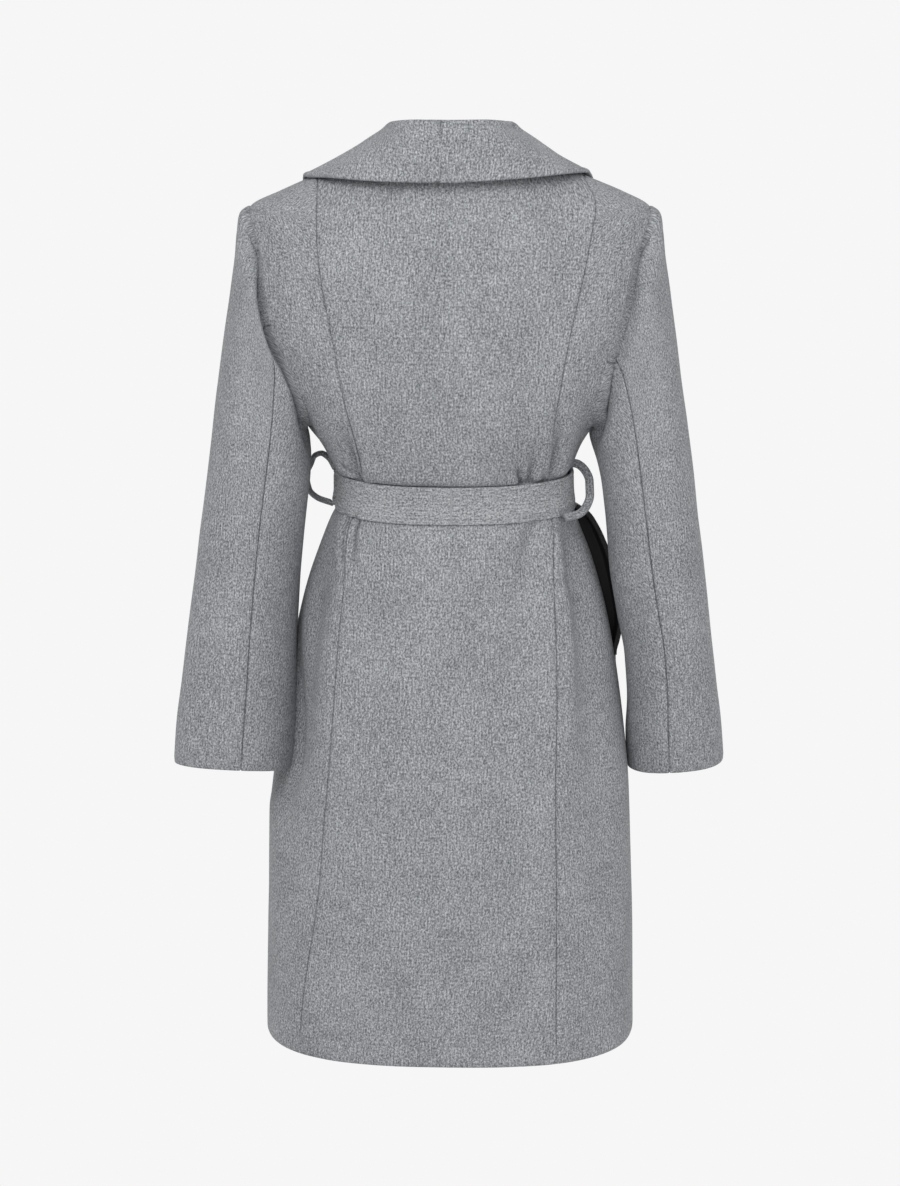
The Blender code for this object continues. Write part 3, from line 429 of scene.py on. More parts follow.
def clothPiece(name, node, slot, face, back, roundness=(1, 1, 1, 1), closed=False,
               grain=None, seam=None):
    # A face and a back of the same rows and columns, joined by rims as round as asked at the top, bottom,
    # first and last column. A closed one runs round and has no side rims.
    rows, columns = face.shape[:2]
    if grain is None:
        across, down = lengthsAcross(face), lengthsDown(face)
        middle = columns // 2
        down = down[:, middle:middle + 1] + across * 0
        grain = np.stack([across - across[:, middle:middle + 1], down], -1)
    seam = np.zeros((rows, columns)) if seam is None else seam
    index = np.arange(rows * columns).reshape(rows, columns)
    sheet = np.concatenate([index, index[:, :1]], 1) if closed else index
    quads = [gridQuads(sheet), gridQuads((sheet + rows * columns)[:, ::-1])]
    points = [face.reshape(-1, 3), back.reshape(-1, 3)]
    places = [grain.reshape(-1, 2)] * 2
    shades = [seam.ravel()] * 2
    if closed:
        rings = [(index[0], roundness[0], -1), (index[-1], roundness[1], 1)]
    else:
        ring = np.concatenate([index[0], index[1:, -1], index[-1, -2::-1], index[-2:0:-1, 0]])
        row, column = np.divmod(ring, columns)
        amount = np.ones(len(ring))
        for hit, value in ((row == 0, roundness[0]), (row == rows - 1, roundness[1]),
                           (column == 0, roundness[2]), (column == columns - 1, roundness[3])):
            amount = np.where(hit, np.minimum(amount, value), amount)
        rings = [(ring, amount, -1)]
    count = 2 * rows * columns
    for ring, amount, way in rings:  # way winds the rim's quads outwards
        row, column = np.divmod(ring, columns)
        innerRow = np.clip(row, 1, rows - 2)
        innerColumn = column if closed else np.clip(column, 1, columns - 2)
        out = unit(face[row, column] - face[innerRow, innerColumn])
        outGrain = unit(grain[row, column] - grain[innerRow, innerColumn])
        high, low = face[row, column], back[row, column]
        half = np.linalg.norm(high - low, axis=-1, keepdims=True) / 2
        amount = (np.zeros(len(ring)) + amount)[:, None]
        last = ring

        def join(here):
            quads.append(np.stack([last, here, np.roll(here, -1), np.roll(last, -1)], -1)[:, ::way])

        for turn in np.radians((30, 60, 90, 120, 150)):
            middle = (high + low) / 2 + (high - low) / 2 * np.cos(turn)
            points.append(middle + out * half * amount * np.sin(turn))
            places.append(grain[row, column] + outGrain * half * turn)
            shades.append(seam[row, column])
            here = count + np.arange(len(ring))
            join(here)
            last, count = here, count + len(ring)
        join(ring + rows * columns)
    points, quads = np.concatenate(points) * mm, np.concatenate(quads)
    a, b, c, d = (points[quads[:, i]] for i in range(4))
    if (np.cross(b - a, c - a) * a).sum() + (np.cross(c - a, d - a) * a).sum() < 0:
        quads = quads[:, ::-1]
    piece = newPiece(name, points, quads.tolist(), np.concatenate(places), np.concatenate(shades),
                     slots[slot])
    if closed:
        face = np.concatenate([face, face[:, :1]], 1)
    wide, long = float(lengthsAcross(face)[:, -1].max()), float(lengthsDown(face)[-1].max())
    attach(piece, "root")
    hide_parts(node)
    print(f"{name}: cut {wide:.0f} x {long:.0f} mm, {len(piece.data.polygons)} faces")


def stepped(stops, sizes):  # rows at each stop, and between them no further apart than the size
    made = [np.array(stops[:1], float)]
    for a, b, size in zip(stops, stops[1:], sizes):
        made.append(np.linspace(a, b, int(np.ceil(abs(b - a) / size)) + 1)[1:])
    return np.concatenate(made)


bodyRows = stepped([0, neckZ, sideTopZ, tipZ, -110, underarmZ, -325, belt["top"], belt["low"], -425, -905,
                    hemZ], [1.5, 2.2, 1.6, 2.2, 3.6, 2.6, 1.8, 2.4, 2, 4, 2.2])
cloth = {"thick": 2, "hem": 3.6, "hemTop": (42, 38), "hemRound": 0.8, "hemRoundDepth": 3,
         "seamLine": 0.8, "lift": 0.3, "liftStart": (1.5, 4.5), "liftEnd": (16, 13), "calmEdge": 25}
panel = {"seamDepth": 0.5, "seamReach": 1.8, "seamShade": 0.6, "rippleSize": 34, "ripple": 0.5,
         "columnSize": 3.3, "edgeColumns": (0, 0.45, 1, 1.7, 2.6, 3.8, 5.6, 8), "edgeWidth": 30}
princessSeam = {"depth": 1.4, "drawn": 2.4, "waist": (-338, 48), "drawnEnd": -418,
                "pucker": 0.4, "puckerTurn": 0.9, "hemClear": (hemZ + 12, hemZ + 24)}


def seamRoll(away, settings):  # how far the cloth turns in at a seam, less the lift of its allowance
    roll = settings["seamDepth"] * np.clip(1 - away / settings["seamReach"], 0, 1) ** 2
    return roll - cloth["lift"] * between(away, *cloth["liftStart"]) * between(away, *cloth["liftEnd"])


def hemRoll(toHem):  # how far the hem's edge turns in
    return cloth["hemRound"] * np.clip(1 - toHem / cloth["hemRoundDepth"], 0, 1) ** 2


def clothDepth(toHem):  # thicker where the hem is turned up
    return cloth["thick"] + (cloth["hem"] - cloth["thick"]) * between(toHem, *cloth["hemTop"])


def panelGrid(rows, start, end, point, dip=False):  # columns crowd towards the two side edges
    width = np.radians(np.abs(end - start)) * ringRadius((start + end) / 2, rows)
    edge = np.array(panel["edgeColumns"])
    count = int(np.ceil(width.max() / panel["columnSize"]))
    crowd = edge * np.minimum(1, width / panel["edgeWidth"])[:, None] / width[:, None]
    inner = crowd[:, -1:] + (1 - 2 * crowd[:, -1:]) * np.linspace(0, 1, count)[1:-1]
    t = np.concatenate([crowd, inner, 1 - crowd[:, ::-1]], 1)
    angle = start[:, None] + (end - start)[:, None] * t
    z = np.repeat(rows[:, None], t.shape[1], 1)
    if dip:
        z = z - neckDip(z) * (1 - (2 * t - 1) ** 2)
    return point(angle, z), angle


def bodyPanel(name, node, rows, start, end, point=bodyPoint, dip=False, seams=(1, 1)):
    face, angle = panelGrid(rows, start, end, point, dip)
    normal = gridNormals(face, levelWay(angle))
    across, down = lengthsAcross(face), lengthsDown(face)
    fromEnds = (across, across[:, -1:] - across)
    toHem = down[-1:] - down
    inside = smooth(np.minimum(*fromEnds) / cloth["calmEdge"])
    move = ripple(across, down, panel["rippleSize"], panel["ripple"], len(name)) * inside
    # painted shade in sharp creases
    shade = paintedCreaseShade(angle, rows[:, None] + 0 * angle)
    for away, strength in zip(fromEnds, seams):  # a strength is one number, or one for each row
        strength = np.reshape(strength + 0 * rows, (-1, 1))
        move = move - seamRoll(away, panel) * strength
        # painted shade: a dark line painted along each seam, as strong as the seam
        shade = np.maximum(shade, bump(away, cloth["seamLine"]) * strength * panel["seamShade"])
    move = move - hemRoll(toHem)
    face = face + normal * move[..., None]
    back = face - normal * clothDepth(toHem)[..., None]
    sides = [1.0 if np.isscalar(strength) and strength == 0 else 0.1 for strength in seams]
    clothPiece(name, node, "coat_wool", face, back, (0.1, 1, *sides), seam=shade)


def princessStrength(z, side):  # the left seam draws in hard at the waist, and the right one puckers; the strength sets both the seam's roll and its painted shade line
    if side > 0:
        more = princessSeam["drawn"] * near(z, *princessSeam["waist"]) * (z > princessSeam["drawnEnd"])
    else:
        more = princessSeam["pucker"] * np.sin(z * princessSeam["puckerTurn"])
    return (princessSeam["depth"] + more) * between(z, *princessSeam["hemClear"])


def underarmStrength(z):  # faint beside the armhole, and full below the underarm
    return 0.9 * smooth((underarmZ - z) / 10) + 0.1


def makeBody():
    def princessAngle(z, side):
        return angleAt(side * read(princess, "left" if side > 0 else "right", z), z, 1)

    rows = bodyRows[bodyRows != neckZ]
    above = rows > sideTopZ
    ends = [np.where(above, setBack(90.0 * side + 0 * rows, rows, -side),
                     setBack(princessAngle(rows, side), rows, -side)) for side in (-1, 1)]
    bodyPanel("backPanel", "back_centre", rows, ends[0], ends[1], dip=True,
              seams=[princessStrength(rows, side) for side in (-1, 1)])
    rows = bodyRows[bodyRows <= sideTopZ]
    for name, side in (("left", 1), ("right", -1)):
        start, end = setBack(princessAngle(rows, side), rows, side), outerEdge(rows, side, True)
        sideSeam = underarmStrength(rows)
        if side < 0:  # open along the pocket's mouth
            sideSeam = sideSeam * ((rows > belt["low"]) | (rows < pocket["lowZ"]))
        bodyPanel(f"{name}SideBack", f"back_side_{name}", rows, start, end,
                  seams=(princessStrength(rows, side), sideSeam))
    rows = bodyRows[bodyRows <= neckZ]
    for name, side, point in (("left", 1, bodyPoint), ("right", -1, rightFrontPoint)):
        start, end = outerEdge(rows, side, False), frontEdgeAngle(rows, side)
        bodyPanel(f"{name}Front", f"front_{name}", rows, start, end, point, seams=(underarmStrength(rows), 0))


makeBody()
print("body made")

# Sections of each sleeve from the armhole to the cuff: outer and inner edge, middle, half depth and tilt.
sleeveNames = "outerX outerZ innerX innerZ middleY deep tip"
lastSection = 14
sleeves = {
    1: curves("t " + sleeveNames, [
        (0, 205, -66, 148, -293, -6.5, 73, 0), (1, 214.5, -73, 148.2, -297, -6, 76, 0),
        (2, 219, -91, 147.3, -301, -5, 77, 0), (3, 221.5, -115, 146.4, -306, -4, 77, 0),
        (4, 226.5, -148, 145.6, -314, -2, 76, 0), (5, 232.5, -190, 144.8, -326, 2, 74, 0),
        (6, 239, -238, 145.8, -346, 9, 71, -0.7), (7, 245.5, -288, 149.5, -375, 17, 66, -1.5),
        (8, 252, -340, 154, -410, 25, 61, -2.5), (9, 258.5, -391, 157.5, -448, 33, 56, -3.5),
        (10, 265, -441, 160, -487, 40, 53, -4.5), (11, 272, -491, 161.5, -527, 45, 50, -5.5),
        (12, 278.5, -541, 162.5, -568, 48, 48, -6.5), (13, 286, -594, 164, -610, 50, 46, -7),
        (14, 290.5, -643, 166.5, -651, 50, 45, -7)]),
    -1: curves("t " + sleeveNames, [
        (0, 205, -66, 148, -293, -6.5, 73, 0), (1, 214.5, -73, 147.5, -296, -6, 76, 0),
        (2, 219, -91, 147.2, -300, -5, 77, 0), (3, 221.5, -115, 148, -306, -4, 77, 0),
        (4, 226.5, -148, 150, -315, -2, 76, 0), (5, 232.5, -190, 153.5, -328, 2, 74, 0),
        (6, 239, -238, 158, -350, 8, 71, -0.3), (7, 246, -288, 161.5, -379, 13, 68, -0.6),
        (8, 253.5, -340, 165.5, -413, 16, 66, -1), (9, 260, -393, 170.5, -452, 16, 64, -1.4),
        (10, 267, -446, 178, -493, 13, 63, -1.8), (11, 273.5, -499, 187, -536, 8, 62, -2.2),
        (12, 280.5, -552, 189.8, -580, 2, 61, -2.6), (13, 288, -606, 188, -623, -5, 60, -3),
        (14, 292.5, -656, 189, -664, -12, 59, -3)])}
sleeve = {"square": 2.3, "cap": 5, "backSeam": 100.4, "frontSeam": 244.7, "columns": 132, "rowsASection": 9,
          "firstRows": [0, 0.02, 0.05, 0.09], "nextRow": 0.14,
          "seamColumns": [0, 0.375, 0.825, 1.425, 2.175, 3.15],
          "seamDepth": 1, "seamReach": 2.4, "seamShade": 1.5, "rippleSize": 30, "ripple": 0.6,
          "calmHead": 30, "seamShift": {1: -11, -1: 8}, "shiftReach": 40, "shiftEnd": 2.5,
          "headTurn": 0.8, "headTurnEnd": 8}  # the cloth's depth slants into the armhole at the head
# The head stands up past its seam, then the cloth dips round the armhole, deepest behind and below.
head = {"height": 1.6, "round": (100, 0), "rise": (0, 2.5), "end": (30, 6)}
valley = {"side": 17, "low": 20, "wall": 0.9, "at": (8, 16),
          "start": (12, 46), "under": (90, 140), "end": (178, 152)}
# The back of each sleeve sags inwards below the elbow, bulges under the armhole and leans on the skirt.
sag = {"depth": {1: 34, -1: 6}, "way": np.array([0, -1, -0.24]), "from": 76, "rise": 96,
       "end": (272, 184), "t": (6, 10)}
bulge = {"height": {1: 0, -1: 3}, "angle": 165, "reach": 35, "t": (2.5, 2.5)}
lean = {"height": {1: 0, -1: 3}, "angle": 160, "reach": 30, "t": (7, 9), "end": (13.8, 11.3)}


def sleeveSection(side, angle, t):
    outerX, outerZ, innerX, innerZ, middleY, deep, tip = readAll(sleeves[side], sleeveNames, t)
    cosine, sine = np.cos(np.radians(angle)), np.sin(np.radians(angle))
    size = (np.abs(cosine) ** sleeve["square"] + np.abs(sine) ** sleeve["square"]) ** (-1 / sleeve["square"])
    x = (outerX + innerX) / 2 + (outerX - innerX) / 2 * cosine * size
    z = (outerZ + innerZ) / 2 + (outerZ - innerZ) / 2 * cosine * size - tip * sine
    return np.stack([side * x, middleY + deep * sine * size, z], -1)


def sleeveColumns(first, last):  # crowded towards the two seams
    edge = np.array(sleeve["seamColumns"])
    count = int((last - first) / 360 * sleeve["columns"])
    inner = np.linspace(first + edge[-1], last - edge[-1], count)
    return np.concatenate([first + edge[:-1], inner, last - edge[:-1][::-1]])


def armholeStart(side, angle):  # points on the armhole, and the way into its hole there
    def at(angle):
        angle = angle % 360.0
        z = (tipZ + underarmZ) / 2 + (tipZ - underarmZ) / 2 * np.cos(np.radians(angle))
        behind, before = armholeAngle(z, side, True), armholeAngle(z, side, False)
        return np.where(angle < 180, behind, before), z

    here, z = at(angle)
    point = bodyPoint(here, z)
    normal = surfaceNormal(bodyPoint, here, z)
    along = bodyPoint(*at(angle + 1)) - bodyPoint(*at(angle - 1))
    away = unit(np.cross(along, normal))
    middle = np.array([side * 180, -5, -180])
    return point, away * np.sign(dot(away, middle - point))


def sleeveLift(side, angle, t, down):  # how far the cloth stands out of its plain section
    turned = np.abs(wrapped(angle))
    cap = head["height"] * between(turned, *head["round"])
    cap = cap * between(down, *head["rise"]) * between(down, *head["end"])
    under = between(turned, *valley["under"])
    dip = valley["side"] * between(turned, *valley["start"]) * (1 - under) + valley["low"] * under
    dip = dip * between(turned, *valley["end"]) * (1 - np.exp(-down / valley["wall"]))
    swell = bulge["height"][side] * bump(wrapped(angle - bulge["angle"]), bulge["reach"])
    beside = lean["height"][side] * bump(wrapped(angle - lean["angle"]), lean["reach"])
    beside = beside * between(t, *lean["t"]) * between(t, *lean["end"])
    return cap - dip * near(down, *valley["at"]) + swell * near(t, *bulge["t"]) + beside


def sleeveGrid(side, angle, t):  # the plain sleeve, drawn on to its armhole and sagging at the back
    start, away = armholeStart(side, angle)
    fade = (1 - smooth(t / sleeve["cap"]))[..., None]
    face = sleeveSection(side, angle, t)
    face = face + (start + away * seamGap - sleeveSection(side, angle, t * 0)) * fade
    behind = smooth(wrapped(angle - sag["from"]) / sag["rise"])
    moved = sag["depth"][side] * behind * between(angle % 360, *sag["end"]) * between(t, *sag["t"])
    return face + moved[..., None] * sag["way"], away


def makeSleeve(name, side):
    t = np.linspace(sleeve["nextRow"], lastSection, lastSection * sleeve["rowsASection"])
    t = np.concatenate([sleeve["firstRows"], t])[:, None]
    seamAngles = {"Top": (sleeve["frontSeam"] - 360, sleeve["backSeam"]),
                  "Under": (sleeve["backSeam"], sleeve["frontSeam"])}
    for part, (first, end) in seamAngles.items():
        angle = sleeveColumns(first, end)[None, :]
        nearSeam = bump(wrapped(angle - sleeve["backSeam"]), sleeve["shiftReach"])
        angle = angle + sleeve["seamShift"][side] * nearSeam * (1 - smooth(t / sleeve["shiftEnd"]))
        plain, away = sleeveGrid(side, angle, t)
        centre = sleeveSection(side, np.linspace(0, 345, 24)[None, :], t).mean(1, keepdims=True)
        outward = plain - centre
        across, down = lengthsAcross(plain), lengthsDown(plain)
        toCuff = down[-1:] - down
        fromEnds = (across, across[:, -1:] - across)
        inside = smooth(np.minimum(*fromEnds) / cloth["calmEdge"]) * smooth(down / sleeve["calmHead"])
        move = ripple(across, down, sleeve["rippleSize"], sleeve["ripple"], side + len(part)) * inside
        move = move - hemRoll(toCuff)
        shade = np.zeros(across.shape)
        for fromEnd in fromEnds:
            move = move - seamRoll(fromEnd, sleeve)
            # painted shade: a dark line painted along each of the sleeve's seams
            shade = np.maximum(shade, bump(fromEnd, cloth["seamLine"]) * sleeve["seamShade"])
        move = move + sleeveLift(side, angle, t, down)
        face = plain + gridNormals(plain, outward) * move[..., None]
        slant = sleeve["headTurn"] * (1 - smooth(down / sleeve["headTurnEnd"]))
        inward = unit(away * slant[..., None] - gridNormals(face, outward))
        back = face + inward * clothDepth(toCuff)[..., None]
        for grid in (face, back):
            grid[:, 0] += unit(grid[:, 1] - grid[:, 0]) * seamGap / 2
            grid[:, -1] += unit(grid[:, -2] - grid[:, -1]) * seamGap / 2
        across = lengthsAcross(face)
        middle = across.shape[1] // 2
        along = unit(centre[-1, 0] - centre[0, 0])
        longer = lengthsDown(face) - down
        grain = np.stack([across - across[:, middle:middle + 1], (plain * along).sum(-1) + longer], -1)
        clothPiece(f"{name}Sleeve{part}", f"sleeve_{part.lower()}_{name}", "coat_wool", face, back,
                   (0.1, 1, 0.1, 0.1), grain=grain, seam=shade)


for name, side in (("left", 1), ("right", -1)):
    makeSleeve(name, side)
print("sleeves made")

collarBack = curves("s rollX rollY rollZ midX midY midZ edgeX edgeY edgeZ rightX rightZ", [
    (0, 0, 71, 27.5, 0, 85, 2, 0, 92.5, -30, 0, -30), (1, 32, 62, 27, 44, 77.5, 1, 60, 86.5, -29.5, 59, -27),
    (2, 50.5, 33, 23.5, 79, 50, -2.5, 115, 58, -29, 112, -25),
    (3, 57, 4, 20, 92, 10, -3, 145, 13, -33, 138, -28)])
lapel = curves("s rollZ edgeAngle edgeZ edgeOff", [
    (3, 0, 85, -36, 4.6), (3.5, -2, 99, -41, 4.6), (4, -8, 112, -58, 4.6), (5, -46, 122.5, -112, 4.4),
    (6, -96, 130.5, -164, 4.2), (7, -152, 138, -212, 4), (8, -208, 146.5, -252, 4),
    (9, -256, 157.5, -284, 4), (10, -293, 171.5, -305, 4), (11, -318, 183.5, -320.5, 4)])
rollRadius = curves("s radius", [(0, 7.5), (2, 7), (3, 6.5), (4, 4), (5, 3.4), (9, 3), (11, 2.5)])
# s runs 0 at the centre back, shoulderS at the shoulder, lapelS where the lapel starts, and lastS at its tip.
shoulderS, cornerS, blendS, lapelS, lastS = 3, 3.5, 0.5, 4, 11
fallSteps = np.arange(1, 9) / 8
collar = {"neckCloth": 2, "neckEnd": 8, "cloth": 3.2, "edge": 4.4, "edgeAt": (2.4, 2.6),
          "press": 0.5, "pressAt": (7, 1.3), "seamX": 9, "gap": 0.5, "sunk": 1, "rollRise": 3,
          "stations": 210, "across": 64, "rightLift": 3.5, "liftAt": (3.4, 0.9), "fall": 2.4,
          "seamShade": 0.9, "seamLine": 0.6, "seamEnd": (80, 45),
          "stitchShade": 0.6, "stitchAt": (9, 0.8), "stitchFrom": 3, "stitchTo": 20,
          "grainShift": {1: 0, -1: 171}}  # each half is cut from another place of the cloth


def onFront(angle, z, side):  # point and normal of the front that a collar half lies on
    left = side[..., None] > 0
    normals = surfaceNormal(bodyPoint, angle, z), surfaceNormal(rightFrontPoint, angle, z)
    return np.where(left, bodyPoint(angle, z), rightFrontPoint(angle, z)), np.where(left, *normals)


def frontSeam(s, side):  # where the collar is sewn on, past the shoulder
    def edge(z):
        return np.where(side > 0, frontEdgeAngle(z, 1), frontEdgeAngle(z, -1))

    t = np.clip(2 * (s - shoulderS), 0, 1)
    lapelZ = read(lapel, "rollZ", lapelS)
    below = neckZ + (lapelZ - neckZ) * 2 * (s - cornerS)
    z = np.where(s < cornerS, neckZ * t, np.where(s < lapelS, below, read(lapel, "rollZ", s)))
    corner = 90.0 * side * (1 - t) + edge(s * 0 + neckZ) * t
    return np.where(s < cornerS, corner, edge(np.minimum(z, neckZ))), z


def neckPoint(s, side):
    angle = 90 * s / shoulderS * side
    z = -neckDrop * (1 - (angle / 90) ** 2)
    point, normal = onFront(*frontSeam(s, side), side)
    behind = (s <= shoulderS)[..., None]
    return (np.where(behind, bodyPoint(angle, z), point),
            np.where(behind, surfaceNormal(bodyPoint, angle, z), normal))


def collarFall(s, side, start, edge):  # from the roll to the edge behind, through the middle's height
    x, y, z = readAll(collarBack, "midX midY midZ", s)
    middle = np.stack([side * x, y, z], -1)
    control = middle * 2 - (start + edge) / 2
    return [start * (1 - k) ** 2 + control * 2 * k * (1 - k) + edge * k * k for k in fallSteps]


def collarMiddle(s, side):  # the middle layer, from the neck seam over the roll to the edge
    point, normal = neckPoint(s, side)
    along = neckPoint(s + 0.02, side)[0] - neckPoint(np.maximum(s - 0.02, 0), side)[0]
    away = unit(np.cross(normal, along))
    free = np.stack([-side * smooth(s - shoulderS), s * 0, s * 0 + 1], -1)
    away = away * np.sign(dot(away, free))
    radius = read(rollRadius, "radius", s)[:, None]
    x, y, z = readAll(collarBack, "rollX rollY rollZ", s)
    behind = np.stack([side * x, y, z], -1) - neckPoint(np.minimum(s, shoulderS), side)[0]
    before = away * (radius + collar["rollRise"]) + normal * radius
    t = smooth(s - shoulderS)[:, None]
    roll = point + behind * (1 - t) + before * t
    out = unit(unit(point * np.array([1, 1, 0])) * (1 - t) + normal * t)
    up = unit(roll - point)
    up = unit(up - out * dot(up, out))
    centre = roll - up * radius
    inside, outside = centre - out * radius, centre + out * radius
    start = point + away * collar["gap"] - normal * collar["sunk"]
    layer = [start, (start + inside) / 2, inside]
    for turn in np.radians((50, 90, 130)):
        layer.append(centre + (up * np.sin(turn) - out * np.cos(turn)) * radius)
    layer.append(outside)

    atBack = np.minimum(s, shoulderS)
    x, y, z, rightX, rightZ = readAll(collarBack, "edgeX edgeY edgeZ rightX rightZ", atBack)
    backEdge = np.stack([side * np.where(side < 0, rightX, x), y, np.where(side < 0, rightZ, z)], -1)
    shoulder = outside[np.argmin(np.abs(s - shoulderS))]
    falls = collarFall(atBack, side, np.where(s[:, None] > shoulderS, shoulder, outside), backEdge)
    edgeAngle, edgeZ, edgeOff = readAll(lapel, "edgeAngle edgeZ edgeOff", s)
    edgeZ = edgeZ + np.where(side < 0, collar["rightLift"] * near(s, *collar["liftAt"]), 0)
    seamAngle, seamZ = frontSeam(s, side)
    seamOff = dot(outside - point, normal)[:, 0]
    blend = smooth((s - shoulderS) / blendS)[:, None]
    for k, behind in zip(fallSteps, falls):
        angle = seamAngle * (1 - k) + side * edgeAngle * k
        z = seamZ * (1 - k) + edgeZ * k
        off = edgeOff + (seamOff - edgeOff) * (1 - k) ** collar["fall"]
        before, normal = onFront(angle, z, side)
        layer.append(behind * (1 - blend) + (before + normal * off[:, None]) * blend)
    return np.stack(layer, 1)


def throughPoints(grid, count):  # each row redrawn as a smooth line of evenly spaced points
    made = []
    for row in grid:
        at = lengthsAcross(row[None])[0]
        where = np.linspace(0, at[-1], count)
        slope = np.gradient(row, at, axis=0)
        i = np.clip(np.searchsorted(at, where) - 1, 0, len(at) - 2)
        span = (at[i + 1] - at[i])[:, None]
        t = (where - at[i])[:, None] / span
        made.append(row[i] * (1 + 2 * t) * (1 - t) ** 2 + row[i + 1] * t * t * (3 - 2 * t)
                    + span * t * (1 - t) * (slope[i] * (1 - t) - slope[i + 1] * t))
    return np.array(made)


def makeCollar(name, side):  # the halves meet beside the middle, and the right one reaches over it
    start = collar["seamX"] / 36.0
    s = np.linspace(start if side > 0 else 0, lastS, collar["stations"])
    sides = s * 0 + side
    if side < 0:
        s = np.concatenate([[start, start * 0.66, start * 0.33], s])
        sides = np.concatenate([[1, 1, 1], sides])
    layer = throughPoints(collarMiddle(s, sides), collar["across"])
    layer[0, :, 0] = collar["seamX"] + side * seamGap / 2
    normal = unit(np.cross(np.gradient(layer, axis=1), np.gradient(layer, axis=0)))
    half = collar["across"] // 2
    level = unit(layer[:, half:] * np.array([1, 1, 0]))
    normal = normal * np.sign((normal[:, half:] * level).sum())
    across, along = lengthsAcross(layer), lengthsDown(layer)
    toEdge = across[:, -1:] - across
    thick = collar["neckCloth"] + (collar["cloth"] - collar["neckCloth"]) * smooth(across / collar["neckEnd"])
    thick = thick + (collar["edge"] - collar["cloth"]) * near(toEdge, *collar["edgeAt"])
    thick = thick - collar["press"] * near(toEdge, *collar["pressAt"])  # beside the turned edge
    face = layer + normal * thick[..., None] / 2
    back = layer - normal * thick[..., None] / 2
    # painted shade: a dark line painted along the centre-back seam, fading out before the edge
    shade = collar["seamShade"] * bump(along, collar["seamLine"]) * between(across, *collar["seamEnd"])
    if side < 0:  # painted shade: a short dark line where a row of stitches sinks in beside the seam
        stitchShadeSpan = (along > collar["stitchFrom"]) * (along < collar["stitchTo"])
        shade = np.maximum(shade, collar["stitchShade"] * near(toEdge, *collar["stitchAt"]) * stitchShadeSpan)
    grain = np.stack([along + across * 0, across], -1) + collar["grainShift"][side]
    clothPiece(f"{name}Collar", f"collar_{name}", "coat_wool", face, back,
               (0.1, 1, 0.1, 1), seam=shade, grain=grain)


makeCollar("left", 1)
makeCollar("right", -1)
print("collar made")


def beltInside(angle, z):  # the belt lies on whichever cloth stands out furthest
    z = np.minimum(z, belt["top"] - belt["settle"])
    under = np.linalg.norm(bodyPoint(angle, z)[..., :2], axis=-1)
    over = np.linalg.norm(rightFrontPoint(angle, z)[..., :2], axis=-1)
    turned = angle % 360.0
    before = (turned > 90) & (turned < 270)
    return np.maximum(under, np.where(before, over, under)) + belt["clear"]


def stitchGroove(fromEdge):  # the belt's row of stitches draws its cloth in beside each edge
    return belt["stitchDepth"] * near(fromEdge, *belt["stitch"])


def makeBelt():
    angle = np.linspace(0, 360, belt["columns"], endpoint=False)[None, :]
    z = np.linspace(belt["top"], belt["low"], belt["rows"])[:, None]
    inside = beltInside(angle, z)
    fromEdge = np.minimum(belt["top"] - z, z - belt["low"])
    outside = inside + belt["cloth"] - stitchGroove(fromEdge)
    outside = outside - belt["lowThin"] * bump(z - belt["low"], belt["lowReach"])
    way, height = levelWay(angle + z * 0), upwards * z[..., None]
    back, face = way * inside[..., None] + height, way * outside[..., None] + height
    grain = np.stack([z + angle * 0, np.radians(angle) * belt["radius"] + z * 0], -1)
    clothPiece("waistBelt", "belt_band", "belt_wool", face, back,
               closed=True, grain=grain)


makeBelt()

loops = {
    "left": {"wide": 9, "thick": 4.6, "twist": 24, "rows": [
        (0, 120, -4, -341), (1, 126.5, -9, -331), (2, 134, -17, -327.5), (3, 142, -29, -332),
        (4, 147, -40, -343), (5, 152, -47, -357), (6, 148.5, -41, -372), (7, 138.5, -27, -377.5),
        (8, 125, -12, -379)]},
    "right": {"wide": 9.5, "thick": 4.6, "twist": 55, "rows": [
        (0, -122.5, 10, -332), (1, -132, 7, -333.5), (2, -140.5, 8, -340), (3, -145.3, 14, -351),
        (4, -145.5, 24, -363), (5, -141, 38, -373), (6, -132, 52, -378), (7, -118, 62.5, -379)]}}


def makeLoop(name, settings):  # a soft strap swept along its route, closed at both ends
    stations, corners = 84, 24
    route = curves("step x y z", settings["rows"])
    s = np.linspace(0, settings["rows"][-1][0], stations)
    here = np.stack([read(route, axis, s) for axis in "xyz"], -1)
    ahead = unit(np.gradient(here, axis=0))
    across = unit(np.cross(np.array([0, 1, 0.25]), ahead))
    upright = np.cross(ahead, across)
    twist = np.radians(settings["twist"])
    wide = upright * np.cos(twist) + across * np.sin(twist)
    thin = across * np.cos(twist) - upright * np.sin(twist)
    turn = np.linspace(0, 2 * np.pi, corners, endpoint=False)
    size = (np.abs(np.cos(turn)) ** 3 + np.abs(np.sin(turn)) ** 3) ** (-1 / 3)
    ring = (here[:, None] + wide[:, None] * (np.cos(turn) * size * settings["wide"] / 2)[None, :, None]
            + thin[:, None] * (np.sin(turn) * size * settings["thick"] / 2)[None, :, None])
    index = np.arange(stations * corners).reshape(stations, corners)
    quads = gridQuads(np.concatenate([index, index[:, :1]], 1))
    points = ring.reshape(-1, 3) * mm
    a, b, c = (points[quads[:, i]] for i in range(3))
    centre = np.repeat(here[:-1] * mm, corners, 0)
    way = -1 if (np.cross(b - a, c - a) * (a - centre)).sum() < 0 else 1
    faces = quads[:, ::way].tolist() + [index[0][::way].tolist(), index[-1][::-way].tolist()]
    length = lengthsAcross(here[None])[0]
    grain = np.stack([np.tile(turn * 4, stations), np.repeat(length, corners)], -1)
    piece = newPiece(f"{name}BeltLoop", points, faces, grain, np.zeros(len(points)), slots["coat_wool"])
    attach(piece, "root")
    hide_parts(f"belt_loop_{name}")


for name, settings in loops.items():
    makeLoop(name, settings)
print("loops made")

